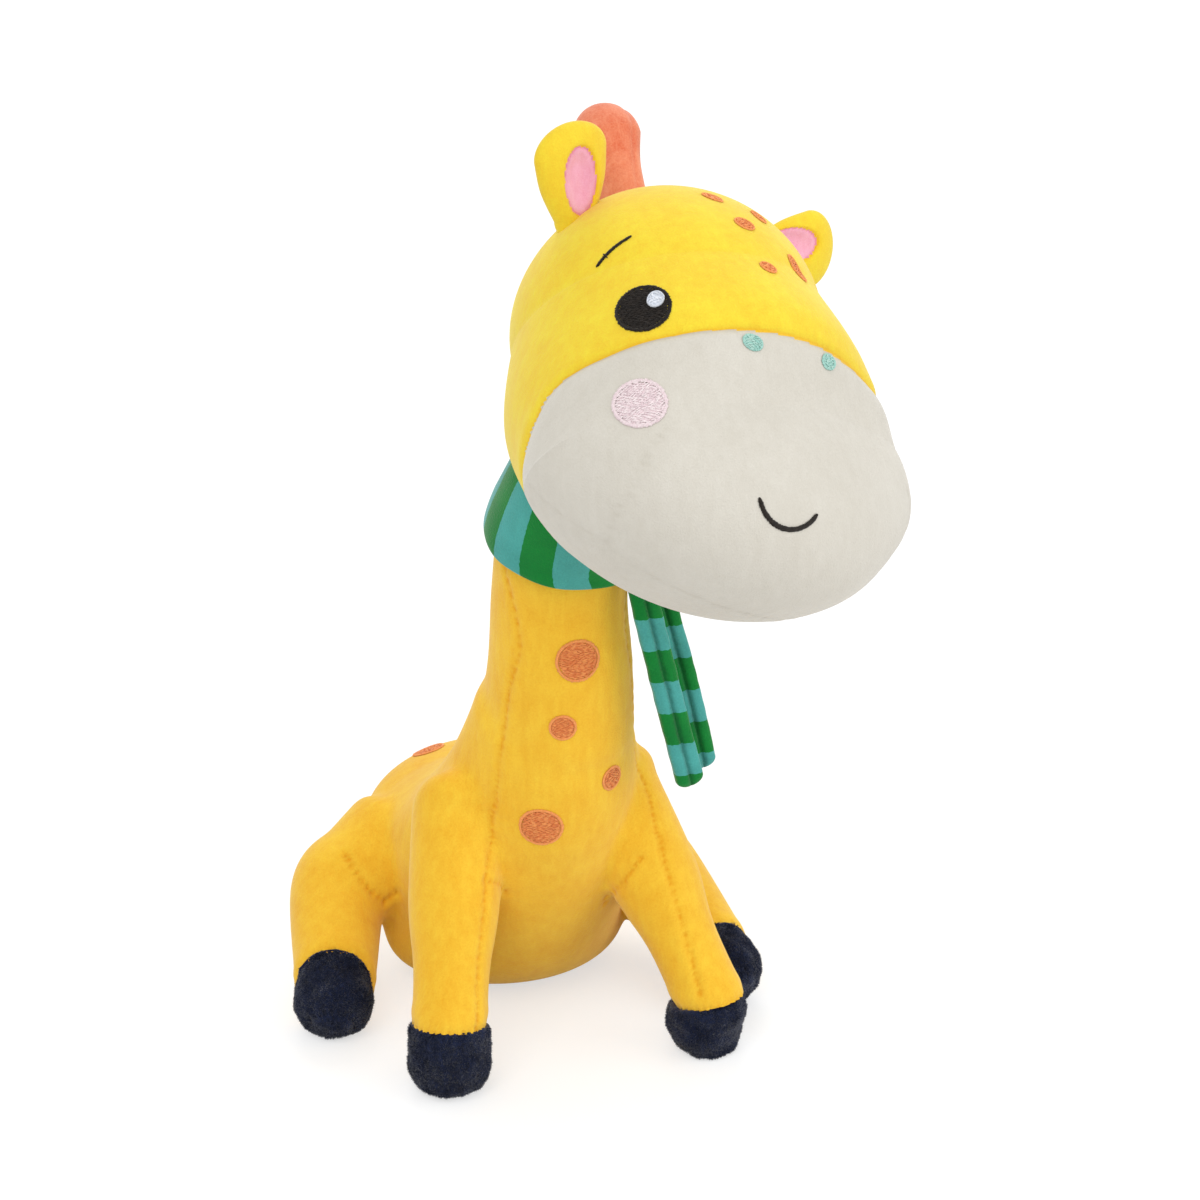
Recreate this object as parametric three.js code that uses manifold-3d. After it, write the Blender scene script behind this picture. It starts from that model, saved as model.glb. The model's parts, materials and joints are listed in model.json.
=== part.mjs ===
// A sitting plush giraffe with a striped scarf, in millimetres, +Z up. The giraffe faces -Y, and its own left
// is +X. The group's origin is on the floor under the middle of the toy. Before that last shift, y = 0 is
// under the fore hooves and x = 0 is the middle of the trunk.
import * as THREE from "three";
import { mergeVertices } from "three/addons/utils/BufferGeometryUtils.js";
import Module from "manifold-3d";

const wasm = await Module();
wasm.setup();

// Cloth and seams
const GAP = 0.35; // between two sewn pieces
const HOOF_PRESS = 6; // a fore hoof is pressed flat this deep where it stands
const THREAD_THICK = 0.8; // embroidery above the cloth
const THREAD_REACH = 6; // depth each way that an embroidered outline is followed over the cloth's curve
const OVERRUN = 80; // how far a cutter reaches past what it cuts
const WELD = 1e-3; // points closer than this are one

// Trunk
const TRUNK_WIDTH = 80; // across the hips
const TRUNK_LENGTH = 100; // rump to the line under the fore hooves
const TRUNK_HEIGHT = 120; // floor to the top of the shoulders
const BAG_WIDTH = 36; // bag of pellets in the seat
const BAG_HEIGHT = 24;
const SEAT_WIDTH = 42; // panel that closes the seat
const SEAT_THICK = 8;
const SEAT_BACK = 68; // panel's middle behind the fore hooves

// Neck
const NECK_WIDTH = 40; // just below the scarf
const NECK_BACK = 20; // neck's middle behind the fore hooves, below the scarf
const NECK_TOP = 152; // floor to the scarf's lower edge
const NECK_REACH = 44; // from there up into the head

// Head
const HEAD_WIDTH = 82; // across the crown
const HEAD_LENGTH = 96; // forehead to nape
const MUZZLE_WIDTH = 116.4;
const HEAD_ASIDE = 25.5; // crown's middle to the giraffe's left of the trunk's
const HEAD_AHEAD = 16; // crown's middle in front of the fore hooves
const HEAD_HEIGHT = 230; // floor to the crown's middle
const HEAD_TURN_DEGREES = 17; // to its left
const HEAD_TILT_DEGREES = 25; // left ear down
const SEAM_AHEAD = 27; // crown's middle to the plane of the muzzle's seam
const SEAM_LEAN_DEGREES = 41; // that plane's direction, below straight ahead

// Ears, tuft and tail
const EAR_LENGTH = 28;
const EAR_WIDTH = 23;
const EAR_THICK = 9;
const LINING_LENGTH = 17.5;
const LINING_WIDTH = 10;
const TUFT_LENGTH = 34.5;
const TUFT_WIDTH = 20;
const TAIL_LENGTH = 30;
const TAIL_WIDTH = 8;
const TAIL_TUFT_LENGTH = 17;
const TAIL_TUFT_WIDTH = 12;
const TAIL_HEIGHT = 46; // floor to the tail's seam

// Legs. Where left and right differ, the toy sits with them like that.
const FORELEG_WIDTH = 26; // below the shoulder
const SHOULDER_SPREAD = 48; // between the two legs' middles
const SHOULDER_RIGHT = 3; // the middle between them, to the toy's right of the trunk's
const SHOULDER_BACK = 30;
const SHOULDER_HEIGHT = 73;
const FORE_HOOF_SPREAD = 78;
const FORE_HOOF_WIDTH = 23.6;
const FORE_HOOF_HEIGHT = 20;
const HIND_LEG_WIDTH = 36; // at the hip
const HIP_SPREAD = 62;
const HIP_BACK = 80;
const HIP_HEIGHT = 40;
const KNEE_ASIDE = { right: 51.5, left: 45.5 };
const KNEE_BACK = { right: 73, left: 62 };
const KNEE_HEIGHT = { right: 30, left: 24 };
const HIND_HOOF_ASIDE = { right: 61.7, left: 53 };
const HIND_HOOF_BACK = { right: 43, left: 25 };
const HIND_HOOF_WIDTH = 22.6;
const HIND_HOOF_LENGTH = 21;
const SOLE_THICK = 2.5;
const SOLE_INSET = 3; // sole's edge inside the hoof's

// Scarf
const COLLAR_THICK = 3.4;
const COLLAR_HEIGHT = 22;
const SCARF_TAIL_LENGTH = 66;
const SCARF_TAIL_WIDTH = 8.2;
const SCARF_TAIL_THICK = 4.5;
const SCARF_TAIL_GROOVE = 0.9; // depth of the fold down each tail's middle

// Embroidery
const EYE_WIDTH = 16.5;
const EYE_HEIGHT = 14;
const EYE_LIGHT_WIDTH = 5;
const CHEEK_WIDTH = 15.5;
const CHEEK_HEIGHT = 14;
const BROW_LENGTH = 14;
const BROW_WIDTH = 1.6;
const NOSTRIL_WIDTH = 6.5;
const NOSTRIL_HEIGHT = 5;
const MOUTH_WIDTH = 19;
const MOUTH_DROP = 5.8;
const MOUTH_LINE = 1.7;
const SPOT_WIDTH = 12.6; // the largest spot

// How far the stuffed cloth lets each piece turn from rest
const FORELEG_AHEAD_DEGREES = 12;
const FORELEG_BACK_DEGREES = { right: 12, left: 4 }; // the left hind hoof lies close behind the left foreleg
const HIND_LEG_UP_DEGREES = { right: 12, left: 8 };
const HIND_LEG_DOWN_DEGREES = 12;
const HEAD_SWING_DEGREES = 8;
const EAR_SWING_DEGREES = 18;
const TUFT_SWING_DEGREES = 15;
const TAIL_SWING_DEGREES = 15;
const SCARF_OUT_DEGREES = 20;

// Sides of each form's rings, and rings from one row of its table to the next
const SIDES = { trunk: 28, neck: 24, head: 28, leg: 15, hoof: 16, ear: 12, tuft: 12, tail: 10 };
const SCARF_SIDES = { collar: 26, tail: 12 };
const STEPS = { trunk: 3, neck: 2, head: 4, leg: 2, hoof: 2, ear: 2, tuft: 2, tail: 2, scarf: 2 };
const CURVE_STEPS = 5; // a quarter of an oval's straight pieces
const COLLAR_CORNERS = 8; // points round the collar's band

const point = (x, y, z) => new THREE.Vector3(x, y, z);
const toRadians = THREE.MathUtils.degToRad;
const { lerp } = THREE.MathUtils;
const LEFTWARD = point(1, 0, 0);
const UPWARD = point(0, 0, 1);
const DOWNWARD = point(0, 0, -1);
const PAIR = [
  { name: "right", side: -1 },
  { name: "left", side: 1 },
];

/** The rows' numbers at a place between two rows, on a smooth curve through all rows. */
function between(rows, at) {
  const last = rows.length - 1;
  const from = Math.min(Math.floor(at), last - 1);
  const t = at - from;
  const row = (i) => rows[THREE.MathUtils.clamp(i, 0, last)];
  const [before, start, end, after] = [from - 1, from, from + 1, from + 2].map(row);
  return start.map((value, k) => {
    const leaving = (end[k] - before[k]) / 2;
    const arriving = (after[k] - value) / 2;
    const rise = end[k] - value;
    const late = leaving + arriving - 2 * rise;
    return value + t * (leaving + t * (rise - leaving - late + t * late));
  });
}

/** Two directions across a path: the one nearest to the given one, and the one square to it. */
function acrossPath(along, across) {
  const wide = across.clone().addScaledVector(along, -across.dot(along)).normalize();
  return [wide, wide.clone().cross(along)];
}

/** Rings along the rows, each with its numbers and the direction of the path there. */
function ringsAlong(rows, steps) {
  const count = (rows.length - 1) * steps;
  const numbers = Array.from({ length: count + 1 }, (_, i) => between(rows, i / steps));
  return numbers.map((ring, i) => {
    const before = numbers[Math.max(i - 1, 0)];
    const after = numbers[Math.min(i + 1, count)];
    return { ring, along: point(...[0, 1, 2].map((k) => after[k] - before[k])).normalize() };
  });
}

/** Rings that close a form from its last full ring to its pole, as a quarter of an ellipse. */
function capRings(pole, edge, along, steps) {
  return Array.from({ length: steps - 1 }, (_, i) => {
    const turn = ((i + 1) / steps) * (Math.PI / 2);
    const shrunk = (value, k) => (k < 3 ? lerp(value, pole[k], Math.cos(turn)) : value * Math.sin(turn));
    return { ring: edge.map(shrunk), along };
  });
}

/**
 * A closed stuffed form. Each row is x, y, z, half width, half depth on one side and on the other. The first
 * and last rows are the poles. The section says how far out each angle lies, 1 being the plain oval.
 */
function stuffedForm(rows, sides, steps, across = LEFTWARD, section = () => 1) {
  const rings = ringsAlong(rows.slice(1, -1), steps);
  const [first, last] = [rings[0], rings.at(-1)];
  const capSteps = steps + 1;
  rings.unshift(...capRings(rows[0], first.ring, first.along, capSteps));
  rings.push(...capRings(rows.at(-1), last.ring, last.along, capSteps).reverse());
  const places = [...rows[0].slice(0, 3)];
  for (const { ring, along } of rings) {
    const [wide, deep] = acrossPath(along, across);
    for (let j = 0; j < sides; j++) {
      const angle = (j / sides) * 2 * Math.PI;
      const out = section(angle);
      const place = point(...ring.slice(0, 3))
        .addScaledVector(wide, ring[3] * Math.cos(angle) * out)
        .addScaledVector(deep, (Math.sin(angle) > 0 ? ring[4] : ring[5]) * Math.sin(angle) * out);
      places.push(...place.toArray());
    }
  }
  places.push(...rows.at(-1).slice(0, 3));
  const at = (i, j) => 1 + i * sides + (j % sides);
  const end = at(rings.length, 0);
  const index = [];
  for (let j = 0; j < sides; j++) {
    index.push(0, at(0, j), at(0, j + 1));
    for (let i = 0; i + 1 < rings.length; i++) {
      index.push(at(i, j), at(i + 1, j), at(i + 1, j + 1), at(i, j), at(i + 1, j + 1), at(i, j + 1));
    }
    index.push(end, at(rings.length - 1, j + 1), at(rings.length - 1, j));
  }
  return new THREE.BufferGeometry()
    .setAttribute("position", new THREE.Float32BufferAttribute(places, 3))
    .setIndex(index);
}

/** The form with every point moved out along its normal. */
function swollen(form, by) {
  const copy = form.clone();
  copy.computeVertexNormals();
  const { position, normal } = copy.attributes;
  for (let i = 0; i < position.count; i++) {
    const out = point().fromBufferAttribute(normal, i);
    const place = point().fromBufferAttribute(position, i).addScaledVector(out, by);
    position.setXYZ(i, ...place.toArray());
  }
  copy.deleteAttribute("normal");
  return copy;
}

/** A closed geometry as a solid that can be joined and cut. */
function solidOf(geometry) {
  const bare = geometry.clone();
  for (const name of ["normal", "uv"]) bare.deleteAttribute(name);
  const merged = mergeVertices(bare, WELD);
  return new wasm.Manifold(
    new wasm.Mesh({
      numProp: 3,
      vertProperties: new Float32Array(merged.attributes.position.array),
      triVerts: new Uint32Array(merged.index.array),
    }),
  );
}

/** A solid as a geometry again. */
function geometryOf(solid) {
  const { vertProperties, triVerts } = solid.getMesh();
  return new THREE.BufferGeometry()
    .setAttribute("position", new THREE.BufferAttribute(vertProperties, 3))
    .setIndex(new THREE.BufferAttribute(triVerts, 1));
}

/** Several solids as one. */
const joined = (solids) => solids.reduce((all, next) => all.add(next));

/** The solid less the others, with loose crumbs dropped. */
function cutBy(solid, ...cutters) {
  const bodies = cutters.reduce((left, cutter) => left.subtract(cutter), solid).decompose();
  return bodies.reduce((most, next) => (next.volume() > most.volume() ? next : most));
}

/** The form as a solid, grown by the sewing gap. */
const grown = (form) => solidOf(swollen(form, GAP));

/** How a piece turns: the point and the axis it turns about, and its least and most turn in degrees. */
const seamJoint = (pivot, axis, least, most) => ({ pivot, axis, least, most });

/** The same turns as seen from the piece that moves. */
const seenFromPiece = ({ pivot, axis, least, most }) => ({ pivot, axis, least: -most, most: -least });

/** The solid at rest and at both ends of a joint's turn, as one. */
function swept(solid, { pivot, axis, least, most }) {
  return joined(
    [least, 0, most].map((turn) => {
      const placed = new THREE.Matrix4().makeTranslation(pivot);
      placed.multiply(new THREE.Matrix4().makeRotationAxis(axis, toRadians(turn)));
      placed.multiply(new THREE.Matrix4().makeTranslation(pivot.clone().negate()));
      return solid.transform(placed.elements);
    }),
  );
}

/** A large block that holds everything past a plane, on the side that the direction points to. */
function beyond(place, direction) {
  const block = new THREE.BoxGeometry(2 * OVERRUN, 2 * OVERRUN, 2 * OVERRUN).translate(0, 0, OVERRUN);
  const turn = new THREE.Quaternion().setFromUnitVectors(UPWARD, direction);
  return solidOf(block.applyQuaternion(turn).translate(...place.toArray()));
}

/** Where a straight line from inside the forms leaves the last of them, and which way that face looks. */
function surfaceAt(forms, from, direction) {
  const bothSides = new THREE.MeshBasicMaterial({ side: THREE.DoubleSide });
  const meshes = forms.map((form) => new THREE.Mesh(form, bothSides));
  const hit = new THREE.Raycaster(from, direction).intersectObjects(meshes).at(-1);
  return { place: hit.point, out: hit.face.normal.clone() };
}

/** Cloth over some forms: the forms, and the two faces between which thread lies on it. */
function clothOver(...forms) {
  const face = (by) => joined(forms.map((form) => solidOf(swollen(form, by))));
  return { forms, inner: face(GAP), outer: face(GAP + THREAD_THICK) };
}

/** A block of an outline's shape through the cloth where a line leaves it, its top towards a direction. */
function outlineBlock(outline, cloth, from, direction, top) {
  const { place, out } = surfaceAt(cloth.forms, from, direction);
  const wide = top.clone().cross(out).normalize();
  const frame = new THREE.Matrix4().makeBasis(wide, out.clone().cross(wide), out);
  frame.setPosition(place.addScaledVector(out, -THREAD_REACH));
  const block = new THREE.ExtrudeGeometry(outline, { depth: 2 * THREAD_REACH, bevelEnabled: false });
  return solidOf(block.applyMatrix4(frame));
}

/** Thread that fills an outline on the cloth. */
function stitched(outline, cloth, from, direction, top) {
  return cutBy(outlineBlock(outline, cloth, from, direction, top).intersect(cloth.outer), cloth.inner);
}

/** An oval outline, turned to the left by some degrees. */
function oval(width, height, turnDegrees = 0) {
  const turn = toRadians(turnDegrees);
  const curve = new THREE.EllipseCurve(0, 0, width / 2, height / 2, 0, 2 * Math.PI, false, turn);
  return new THREE.Shape(curve.getPoints(4 * CURVE_STEPS).slice(1));
}

/** A bowed line of stitches: a band along an arc, as wide between its ends and as deep as given. */
function bow(width, drop, line) {
  const radius = ((width / 2) ** 2 + drop ** 2) / (2 * drop);
  const half = Math.asin(width / 2 / radius);
  const arc = (r) => {
    const curve = new THREE.EllipseCurve(0, radius - drop, r, r, -Math.PI / 2 - half, -Math.PI / 2 + half);
    return curve.getPoints(2 * CURVE_STEPS);
  };
  return new THREE.Shape([...arc(radius + line / 2), ...arc(radius - line / 2).reverse()]);
}

// The trunk stands still. Each piece that moves has a group, placed at the point that it turns about.

const giraffe = new THREE.Group();
const FINISHES = {
  yellow: { color: 0xf2c232, roughness: 0.95, metalness: 0 },
  cream: { color: 0xddd8cd, roughness: 0.95, metalness: 0 },
  navy: { color: 0x1e233c, roughness: 0.9, metalness: 0 },
  orange: { color: 0xe8834a, roughness: 0.9, metalness: 0 },
  pink: { color: 0xee94bc, roughness: 0.9, metalness: 0 },
  green: { color: 0x178a3e, roughness: 0.85, metalness: 0 },
  teal: { color: 0x58b0ab, roughness: 0.85, metalness: 0 },
  black: { color: 0x1e1714, roughness: 0.5, metalness: 0 },
  white: { color: 0xf2f2f0, roughness: 0.5, metalness: 0 },
  blush: { color: 0xead2d4, roughness: 0.6, metalness: 0 },
  pellets: { color: 0xe8e8e4, roughness: 0.6, metalness: 0 },
};

/** A group that turns about its joint's point, which is given in the toy's frame. */
function movingGroup(name, joint, parent = giraffe) {
  const group = new THREE.Group();
  group.name = name;
  group.userData = { axis: joint.axis.toArray(), degrees: [joint.least, joint.most] };
  parent.add(group);
  group.position.copy(parent.worldToLocal(joint.pivot.clone()));
  group.updateWorldMatrix(true, false);
  return group;
}

/** A row of a form's table: a place and a round half width. */
const round = (place, half) => [...place.toArray(), half, half, half];

/** Adds a solid, built in the toy's frame, as a named mesh of a group. */
function addPiece(name, solid, finish, parent = giraffe) {
  const geometry = geometryOf(solid).applyMatrix4(parent.matrixWorld.clone().invert());
  const mesh = new THREE.Mesh(geometry, new THREE.MeshStandardMaterial(FINISHES[finish]));
  mesh.name = name;
  parent.add(mesh);
}

// Forms of the trunk and the neck

// From rump to shoulders: back, up, half width, belly side and back side, as shares of the trunk's sizes.
const trunkShares = [
  [1.15, 0.32, 0, 0, 0],
  [0.8, 0.34, 0.485, 0.384, 0.218],
  [0.59, 0.43, 0.45, 0.355, 0.113],
  [0.36, 0.67, 0.36, 0.275, 0.075],
  [0.25, 0.86, 0.28, 0.21, 0.125],
  [0.22, 0.985, 0, 0, 0],
];
const trunkForm = stuffedForm(
  trunkShares.map(([back, up, wide, belly, spine]) => [
    0,
    back * TRUNK_LENGTH,
    up * TRUNK_HEIGHT,
    wide * TRUNK_WIDTH,
    belly * TRUNK_HEIGHT,
    spine * TRUNK_HEIGHT,
  ]),
  SIDES.trunk,
  STEPS.trunk,
);

// From inside the shoulders to inside the head: way aside and way ahead as shares of the way to the crown,
// height as a share of the neck's top and, past it, of the neck's reach, and half width as a share of the
// neck's width.
const neckShares = [
  [0, -0.15, 0.58, 0, 0],
  [0.04, -0.08, 0.66, 0, 0.55],
  [0.05, -0.02, 0.8, 0, 0.51],
  [0.03, 0, 0.95, 0, 0.475],
  [0.08, 0.12, 1, 0.3, 0.475],
  [0.3, 0.4, 1, 0.72, 0.475],
  [0.42, 0.55, 1, 1, 0],
];
const neckRows = neckShares.map(([aside, ahead, up, past, half]) => [
  aside * HEAD_ASIDE,
  NECK_BACK - ahead * (NECK_BACK + HEAD_AHEAD),
  up * NECK_TOP + past * NECK_REACH,
  half * NECK_WIDTH,
  half * NECK_WIDTH,
  half * NECK_WIDTH,
]);
const neckForm = stuffedForm(neckRows, SIDES.neck, STEPS.neck);

// The head has a frame of its own: x to its left, y to its nape, z to its crown

const headPlace = point(HEAD_ASIDE, -HEAD_AHEAD, HEAD_HEIGHT);
const headTurn = new THREE.Euler(0, toRadians(HEAD_TILT_DEGREES), toRadians(HEAD_TURN_DEGREES), "ZYX");
const headFrame = new THREE.Matrix4().makeRotationFromEuler(headTurn).setPosition(headPlace);
const headDirection = (x, y, z) => point(x, y, z).transformDirection(headFrame);

/** A direction from the crown's middle: degrees round from the middle of the face, and degrees up. */
function headward(aroundDegrees, upDegrees) {
  const [around, up] = [toRadians(aroundDegrees), toRadians(upDegrees)];
  return headDirection(Math.sin(around) * Math.cos(up), -Math.cos(around) * Math.cos(up), Math.sin(up));
}

// From nape to chin: aside, back and up as shares of the head's length, the width's share of the way from
// crown to muzzle, and half the depth on the throat's side and on the forehead's.
const headShares = [
  [-0.03, 0.345, 0.287, 0, 0, 0],
  [-0.052, 0.02, 0.02, 0.065, 0.487, 0.407],
  [-0.05, -0.14, -0.14, 0.48, 0.531, 0.472],
  [-0.026, -0.31, -0.3, 1, 0.416, 0.373],
  [0.084, -0.682, -0.55, 1, 0, 0],
];
const headForm = stuffedForm(
  headShares.map(([aside, back, up, muzzle, throat, forehead]) => [
    aside * HEAD_LENGTH,
    back * HEAD_LENGTH,
    up * HEAD_LENGTH,
    lerp(HEAD_WIDTH, MUZZLE_WIDTH, muzzle) / 2,
    throat * HEAD_LENGTH,
    forehead * HEAD_LENGTH,
  ]),
  SIDES.head,
  STEPS.head,
).applyMatrix4(headFrame);
const headAxis = headDirection(1, 0, 0);
const headUp = headDirection(0, 0, 1);
const neckEnd = point(...neckRows.at(-2).slice(0, 3));
const headJoint = seamJoint(neckEnd, headAxis, -HEAD_SWING_DEGREES, HEAD_SWING_DEGREES);
const headSweep = swept(grown(headForm), headJoint);

// Trunk, with the bag of pellets in a pocket that the seat panel closes

/** An upright round block on the seat, from one height to another. */
function seatRound(width, from, to) {
  const block = new THREE.CylinderGeometry(width / 2, width / 2, to - from, SIDES.neck).rotateX(Math.PI / 2);
  return solidOf(block.translate(0, SEAT_BACK, (from + to) / 2));
}
const bagTop = SEAT_THICK + GAP + BAG_HEIGHT;
const underFloor = beyond(point(0, 0, 0), DOWNWARD);
const seatHole = seatRound(SEAT_WIDTH + 2 * GAP, -OVERRUN, SEAT_THICK + GAP);
const bagHole = seatRound(BAG_WIDTH + 2 * GAP, -OVERRUN, bagTop + GAP);
const seatPanel = solidOf(trunkForm).intersect(seatRound(SEAT_WIDTH, -OVERRUN, SEAT_THICK));
addPiece("trunk", cutBy(solidOf(trunkForm), underFloor, seatHole, bagHole), "yellow");
addPiece("seat_panel", cutBy(seatPanel, underFloor), "yellow");

// Down the bag: the way from its top, and half its width, as a share of its height and width
const bagShares = [
  [0, 0],
  [0.4, 0.5],
  [0.7, 0.5],
  [1, 0],
];
const bagRows = bagShares.map(([down, half]) =>
  round(point(0, SEAT_BACK, bagTop - down * BAG_HEIGHT), half * BAG_WIDTH),
);
addPiece("pellet_bag", solidOf(stuffedForm(bagRows, SIDES.hoof, STEPS.hoof)), "pellets");

// Neck

addPiece("neck", cutBy(solidOf(neckForm), grown(trunkForm), headSweep), "yellow");

// Spots of the chest: height as a share of the neck's top, degrees round from the front, width as a share of
// the largest spot's.
const chestSpotShares = {
  spot_throat: [0.857, 0, 1],
  spot_chest_upper: [0.722, -13, 0.62],
  spot_chest_left: [0.59, 38, 0.6],
  spot_chest_right: [0.505, -33, 1],
};
const bodyCloth = clothOver(trunkForm, neckForm);
for (const [name, [up, aroundDegrees, share]] of Object.entries(chestSpotShares)) {
  const around = toRadians(aroundDegrees);
  const direction = point(Math.sin(around), -Math.cos(around), 0);
  const outline = oval(share * SPOT_WIDTH, share * SPOT_WIDTH);
  const from = point(0, NECK_BACK, up * NECK_TOP);
  addPiece(name, stitched(outline, bodyCloth, from, direction, UPWARD), "orange");
}

// Spots of the rump, from the middle of the trunk's widest row: degrees round from straight back to the
// right, degrees up, width as a share of the largest spot's.
const rumpSpotShares = {
  spot_rump_right: [76, 33, 0.8],
  spot_rump_left: [-76, 33, 0.8],
};
const rumpMiddle = point(0, trunkShares[1][0] * TRUNK_LENGTH, trunkShares[1][1] * TRUNK_HEIGHT);
for (const [name, [aroundDegrees, upDegrees, share]] of Object.entries(rumpSpotShares)) {
  const [around, up] = [aroundDegrees, upDegrees].map(toRadians);
  const direction = point(-Math.sin(around) * Math.cos(up), Math.cos(around) * Math.cos(up), Math.sin(up));
  const outline = oval(share * SPOT_WIDTH, share * SPOT_WIDTH);
  addPiece(name, stitched(outline, bodyCloth, rumpMiddle, direction, UPWARD), "orange");
}

// Head: crown and muzzle meet at the seam

const headGroup = movingGroup("head", headJoint);
const seamLean = toRadians(SEAM_LEAN_DEGREES);
const seamDirection = headDirection(0, -Math.cos(seamLean), -Math.sin(seamLean));
const seamAt = (ahead) => headPlace.clone().addScaledVector(seamDirection, SEAM_AHEAD + ahead);
const belowSeam = (ahead) => beyond(seamAt(ahead), seamDirection);
addPiece("head_crown", cutBy(solidOf(headForm), belowSeam(-GAP / 2)), "yellow", headGroup);
addPiece("muzzle", solidOf(headForm).intersect(belowSeam(GAP / 2)), "cream", headGroup);

// Face: each place is degrees round from straight ahead and degrees up from the crown's middle, and how far
// the outline is turned. The nostrils and the mouth lie to the right of the head's middle.
const eyeDegrees = { around: { right: 56.6, left: 56.6 }, up: 8.4, turn: -38 };
const eyeLightDegrees = { around: { right: 54.8, left: 54.8 }, up: 12.6, turn: 0 };
const browDegrees = { around: { right: 80.9, left: 80.9 }, up: 22.7, turn: 12 };
const cheekDegrees = { around: { right: 46.3, left: 54 }, up: -11.8, turn: -43 };
const nostrilDegrees = { around: { right: 23.8, left: 7 }, up: 11, turn: 0 };
const headCloth = clothOver(headForm);
/** The arguments that place an outline on the head. */
const onHead = (around, up) => [headCloth, headPlace, headward(around, up), headUp];
for (const { name, side } of PAIR) {
  const addSided = (start, width, height, { around, up, turn }, finish, cutters = []) => {
    const solid = stitched(oval(width, height, side * turn), ...onHead(side * around[name], up));
    addPiece(start + name, cutBy(solid, ...cutters), finish, headGroup);
  };
  const lightOutline = oval(EYE_LIGHT_WIDTH + 2 * GAP, EYE_LIGHT_WIDTH + 2 * GAP);
  const { around: lightAround, up: lightUp } = eyeLightDegrees;
  const lightHole = outlineBlock(lightOutline, ...onHead(side * lightAround[name], lightUp));
  addSided("eye_", EYE_WIDTH, EYE_HEIGHT, eyeDegrees, "black", [lightHole]);
  addSided("eye_light_", EYE_LIGHT_WIDTH, EYE_LIGHT_WIDTH, eyeLightDegrees, "white");
  addSided("brow_", BROW_WIDTH, BROW_LENGTH, browDegrees, "black");
  addSided("cheek_", CHEEK_WIDTH, CHEEK_HEIGHT, cheekDegrees, "blush");
  addSided("nostril_", NOSTRIL_WIDTH, NOSTRIL_HEIGHT, nostrilDegrees, "teal");
}
const mouthDegrees = { around: -8, up: -20 };
const mouthOutline = bow(MOUTH_WIDTH, MOUTH_DROP, MOUTH_LINE);
const mouth = stitched(mouthOutline, ...onHead(mouthDegrees.around, mouthDegrees.up));
addPiece("mouth", mouth, "black", headGroup);

// Spots of the crown: degrees round from straight ahead, degrees up, width and height as shares of the
// largest spot's.
const crownSpotShares = {
  spot_crown_right: [-30.9, 62.6, 0.5, 0.38],
  spot_brow_right: [-16.4, 41.2, 0.42, 0.36],
  spot_brow_left: [11.7, 48.4, 0.3, 0.72],
  spot_crown_top: [-76.8, 72.2, 0.5, 0.3],
  spot_crown_left: [0, 76, 0.3, 0.45],
};
for (const [name, [around, up, wide, high]] of Object.entries(crownSpotShares)) {
  const outline = oval(wide * SPOT_WIDTH, high * SPOT_WIDTH);
  addPiece(name, stitched(outline, ...onHead(around, up)), "orange", headGroup);
}

// Ears: how far round and up their seams lie, and how far out each leans
const EAR_AROUND_DEGREES = 121;
const EAR_UP_DEGREES = { right: 27, left: 36 };
const EAR_LEAN_DEGREES = { right: 30, left: 64 };
const LINING_UP_SHARE = 0.44; // lining's middle along the ear
const earShares = [
  [-0.25, 0, 0],
  [0, 0.28, 0.42],
  [0.35, 0.44, 0.5],
  [0.68, 0.5, 0.46],
  [1, 0, 0],
];
for (const { name, side } of PAIR) {
  const toSeam = headward(side * EAR_AROUND_DEGREES, EAR_UP_DEGREES[name]);
  const root = surfaceAt([headForm], headPlace, toSeam).place;
  const lean = toRadians(EAR_LEAN_DEGREES[name]) * side;
  const along = headDirection(Math.sin(lean), 0, Math.cos(lean));
  const [wide, face] = acrossPath(along, headAxis);
  const earPlace = (share) => root.clone().addScaledVector(along, share * EAR_LENGTH);
  const rows = earShares.map(([up, half, deep]) => [
    ...earPlace(up).toArray(),
    half * EAR_WIDTH,
    deep * EAR_THICK,
    deep * EAR_THICK,
  ]);
  const earForm = stuffedForm(rows, SIDES.ear, STEPS.ear, wide);
  const joint = seamJoint(root, wide, -EAR_SWING_DEGREES, EAR_SWING_DEGREES);
  const group = movingGroup("ear_" + name, joint, headGroup);
  const sweep = swept(grown(headForm), seenFromPiece(joint));
  addPiece("ear_" + name, cutBy(solidOf(earForm), sweep), "yellow", group);
  const outline = oval(LINING_WIDTH, LINING_LENGTH);
  const lining = stitched(outline, clothOver(earForm), earPlace(LINING_UP_SHARE), face, along);
  addPiece("ear_lining_" + name, cutBy(lining, sweep), "pink", group);
}

// Tuft at the nape's top: narrow at its seam, round at its tip
const TUFT_AROUND_DEGREES = 186;
const TUFT_UP_DEGREES = 32;
const TUFT_LEAN_DEGREES = 42; // back from the crown's up
const TUFT_SIDE_DEGREES = 7; // to the right
const tuftShares = [
  [-0.2, 0, 0],
  [0, 0.3, 0.34],
  [0.4, 0.38, 0.36],
  [0.72, 0.5, 0.42],
  [1, 0, 0],
];
const tuftRoot = surfaceAt([headForm], headPlace, headward(TUFT_AROUND_DEGREES, TUFT_UP_DEGREES)).place;
const [tuftLean, tuftSide] = [TUFT_LEAN_DEGREES, TUFT_SIDE_DEGREES].map(toRadians);
const tuftAlong = headDirection(
  -Math.sin(tuftSide),
  Math.sin(tuftLean) * Math.cos(tuftSide),
  Math.cos(tuftLean) * Math.cos(tuftSide),
);
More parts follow.
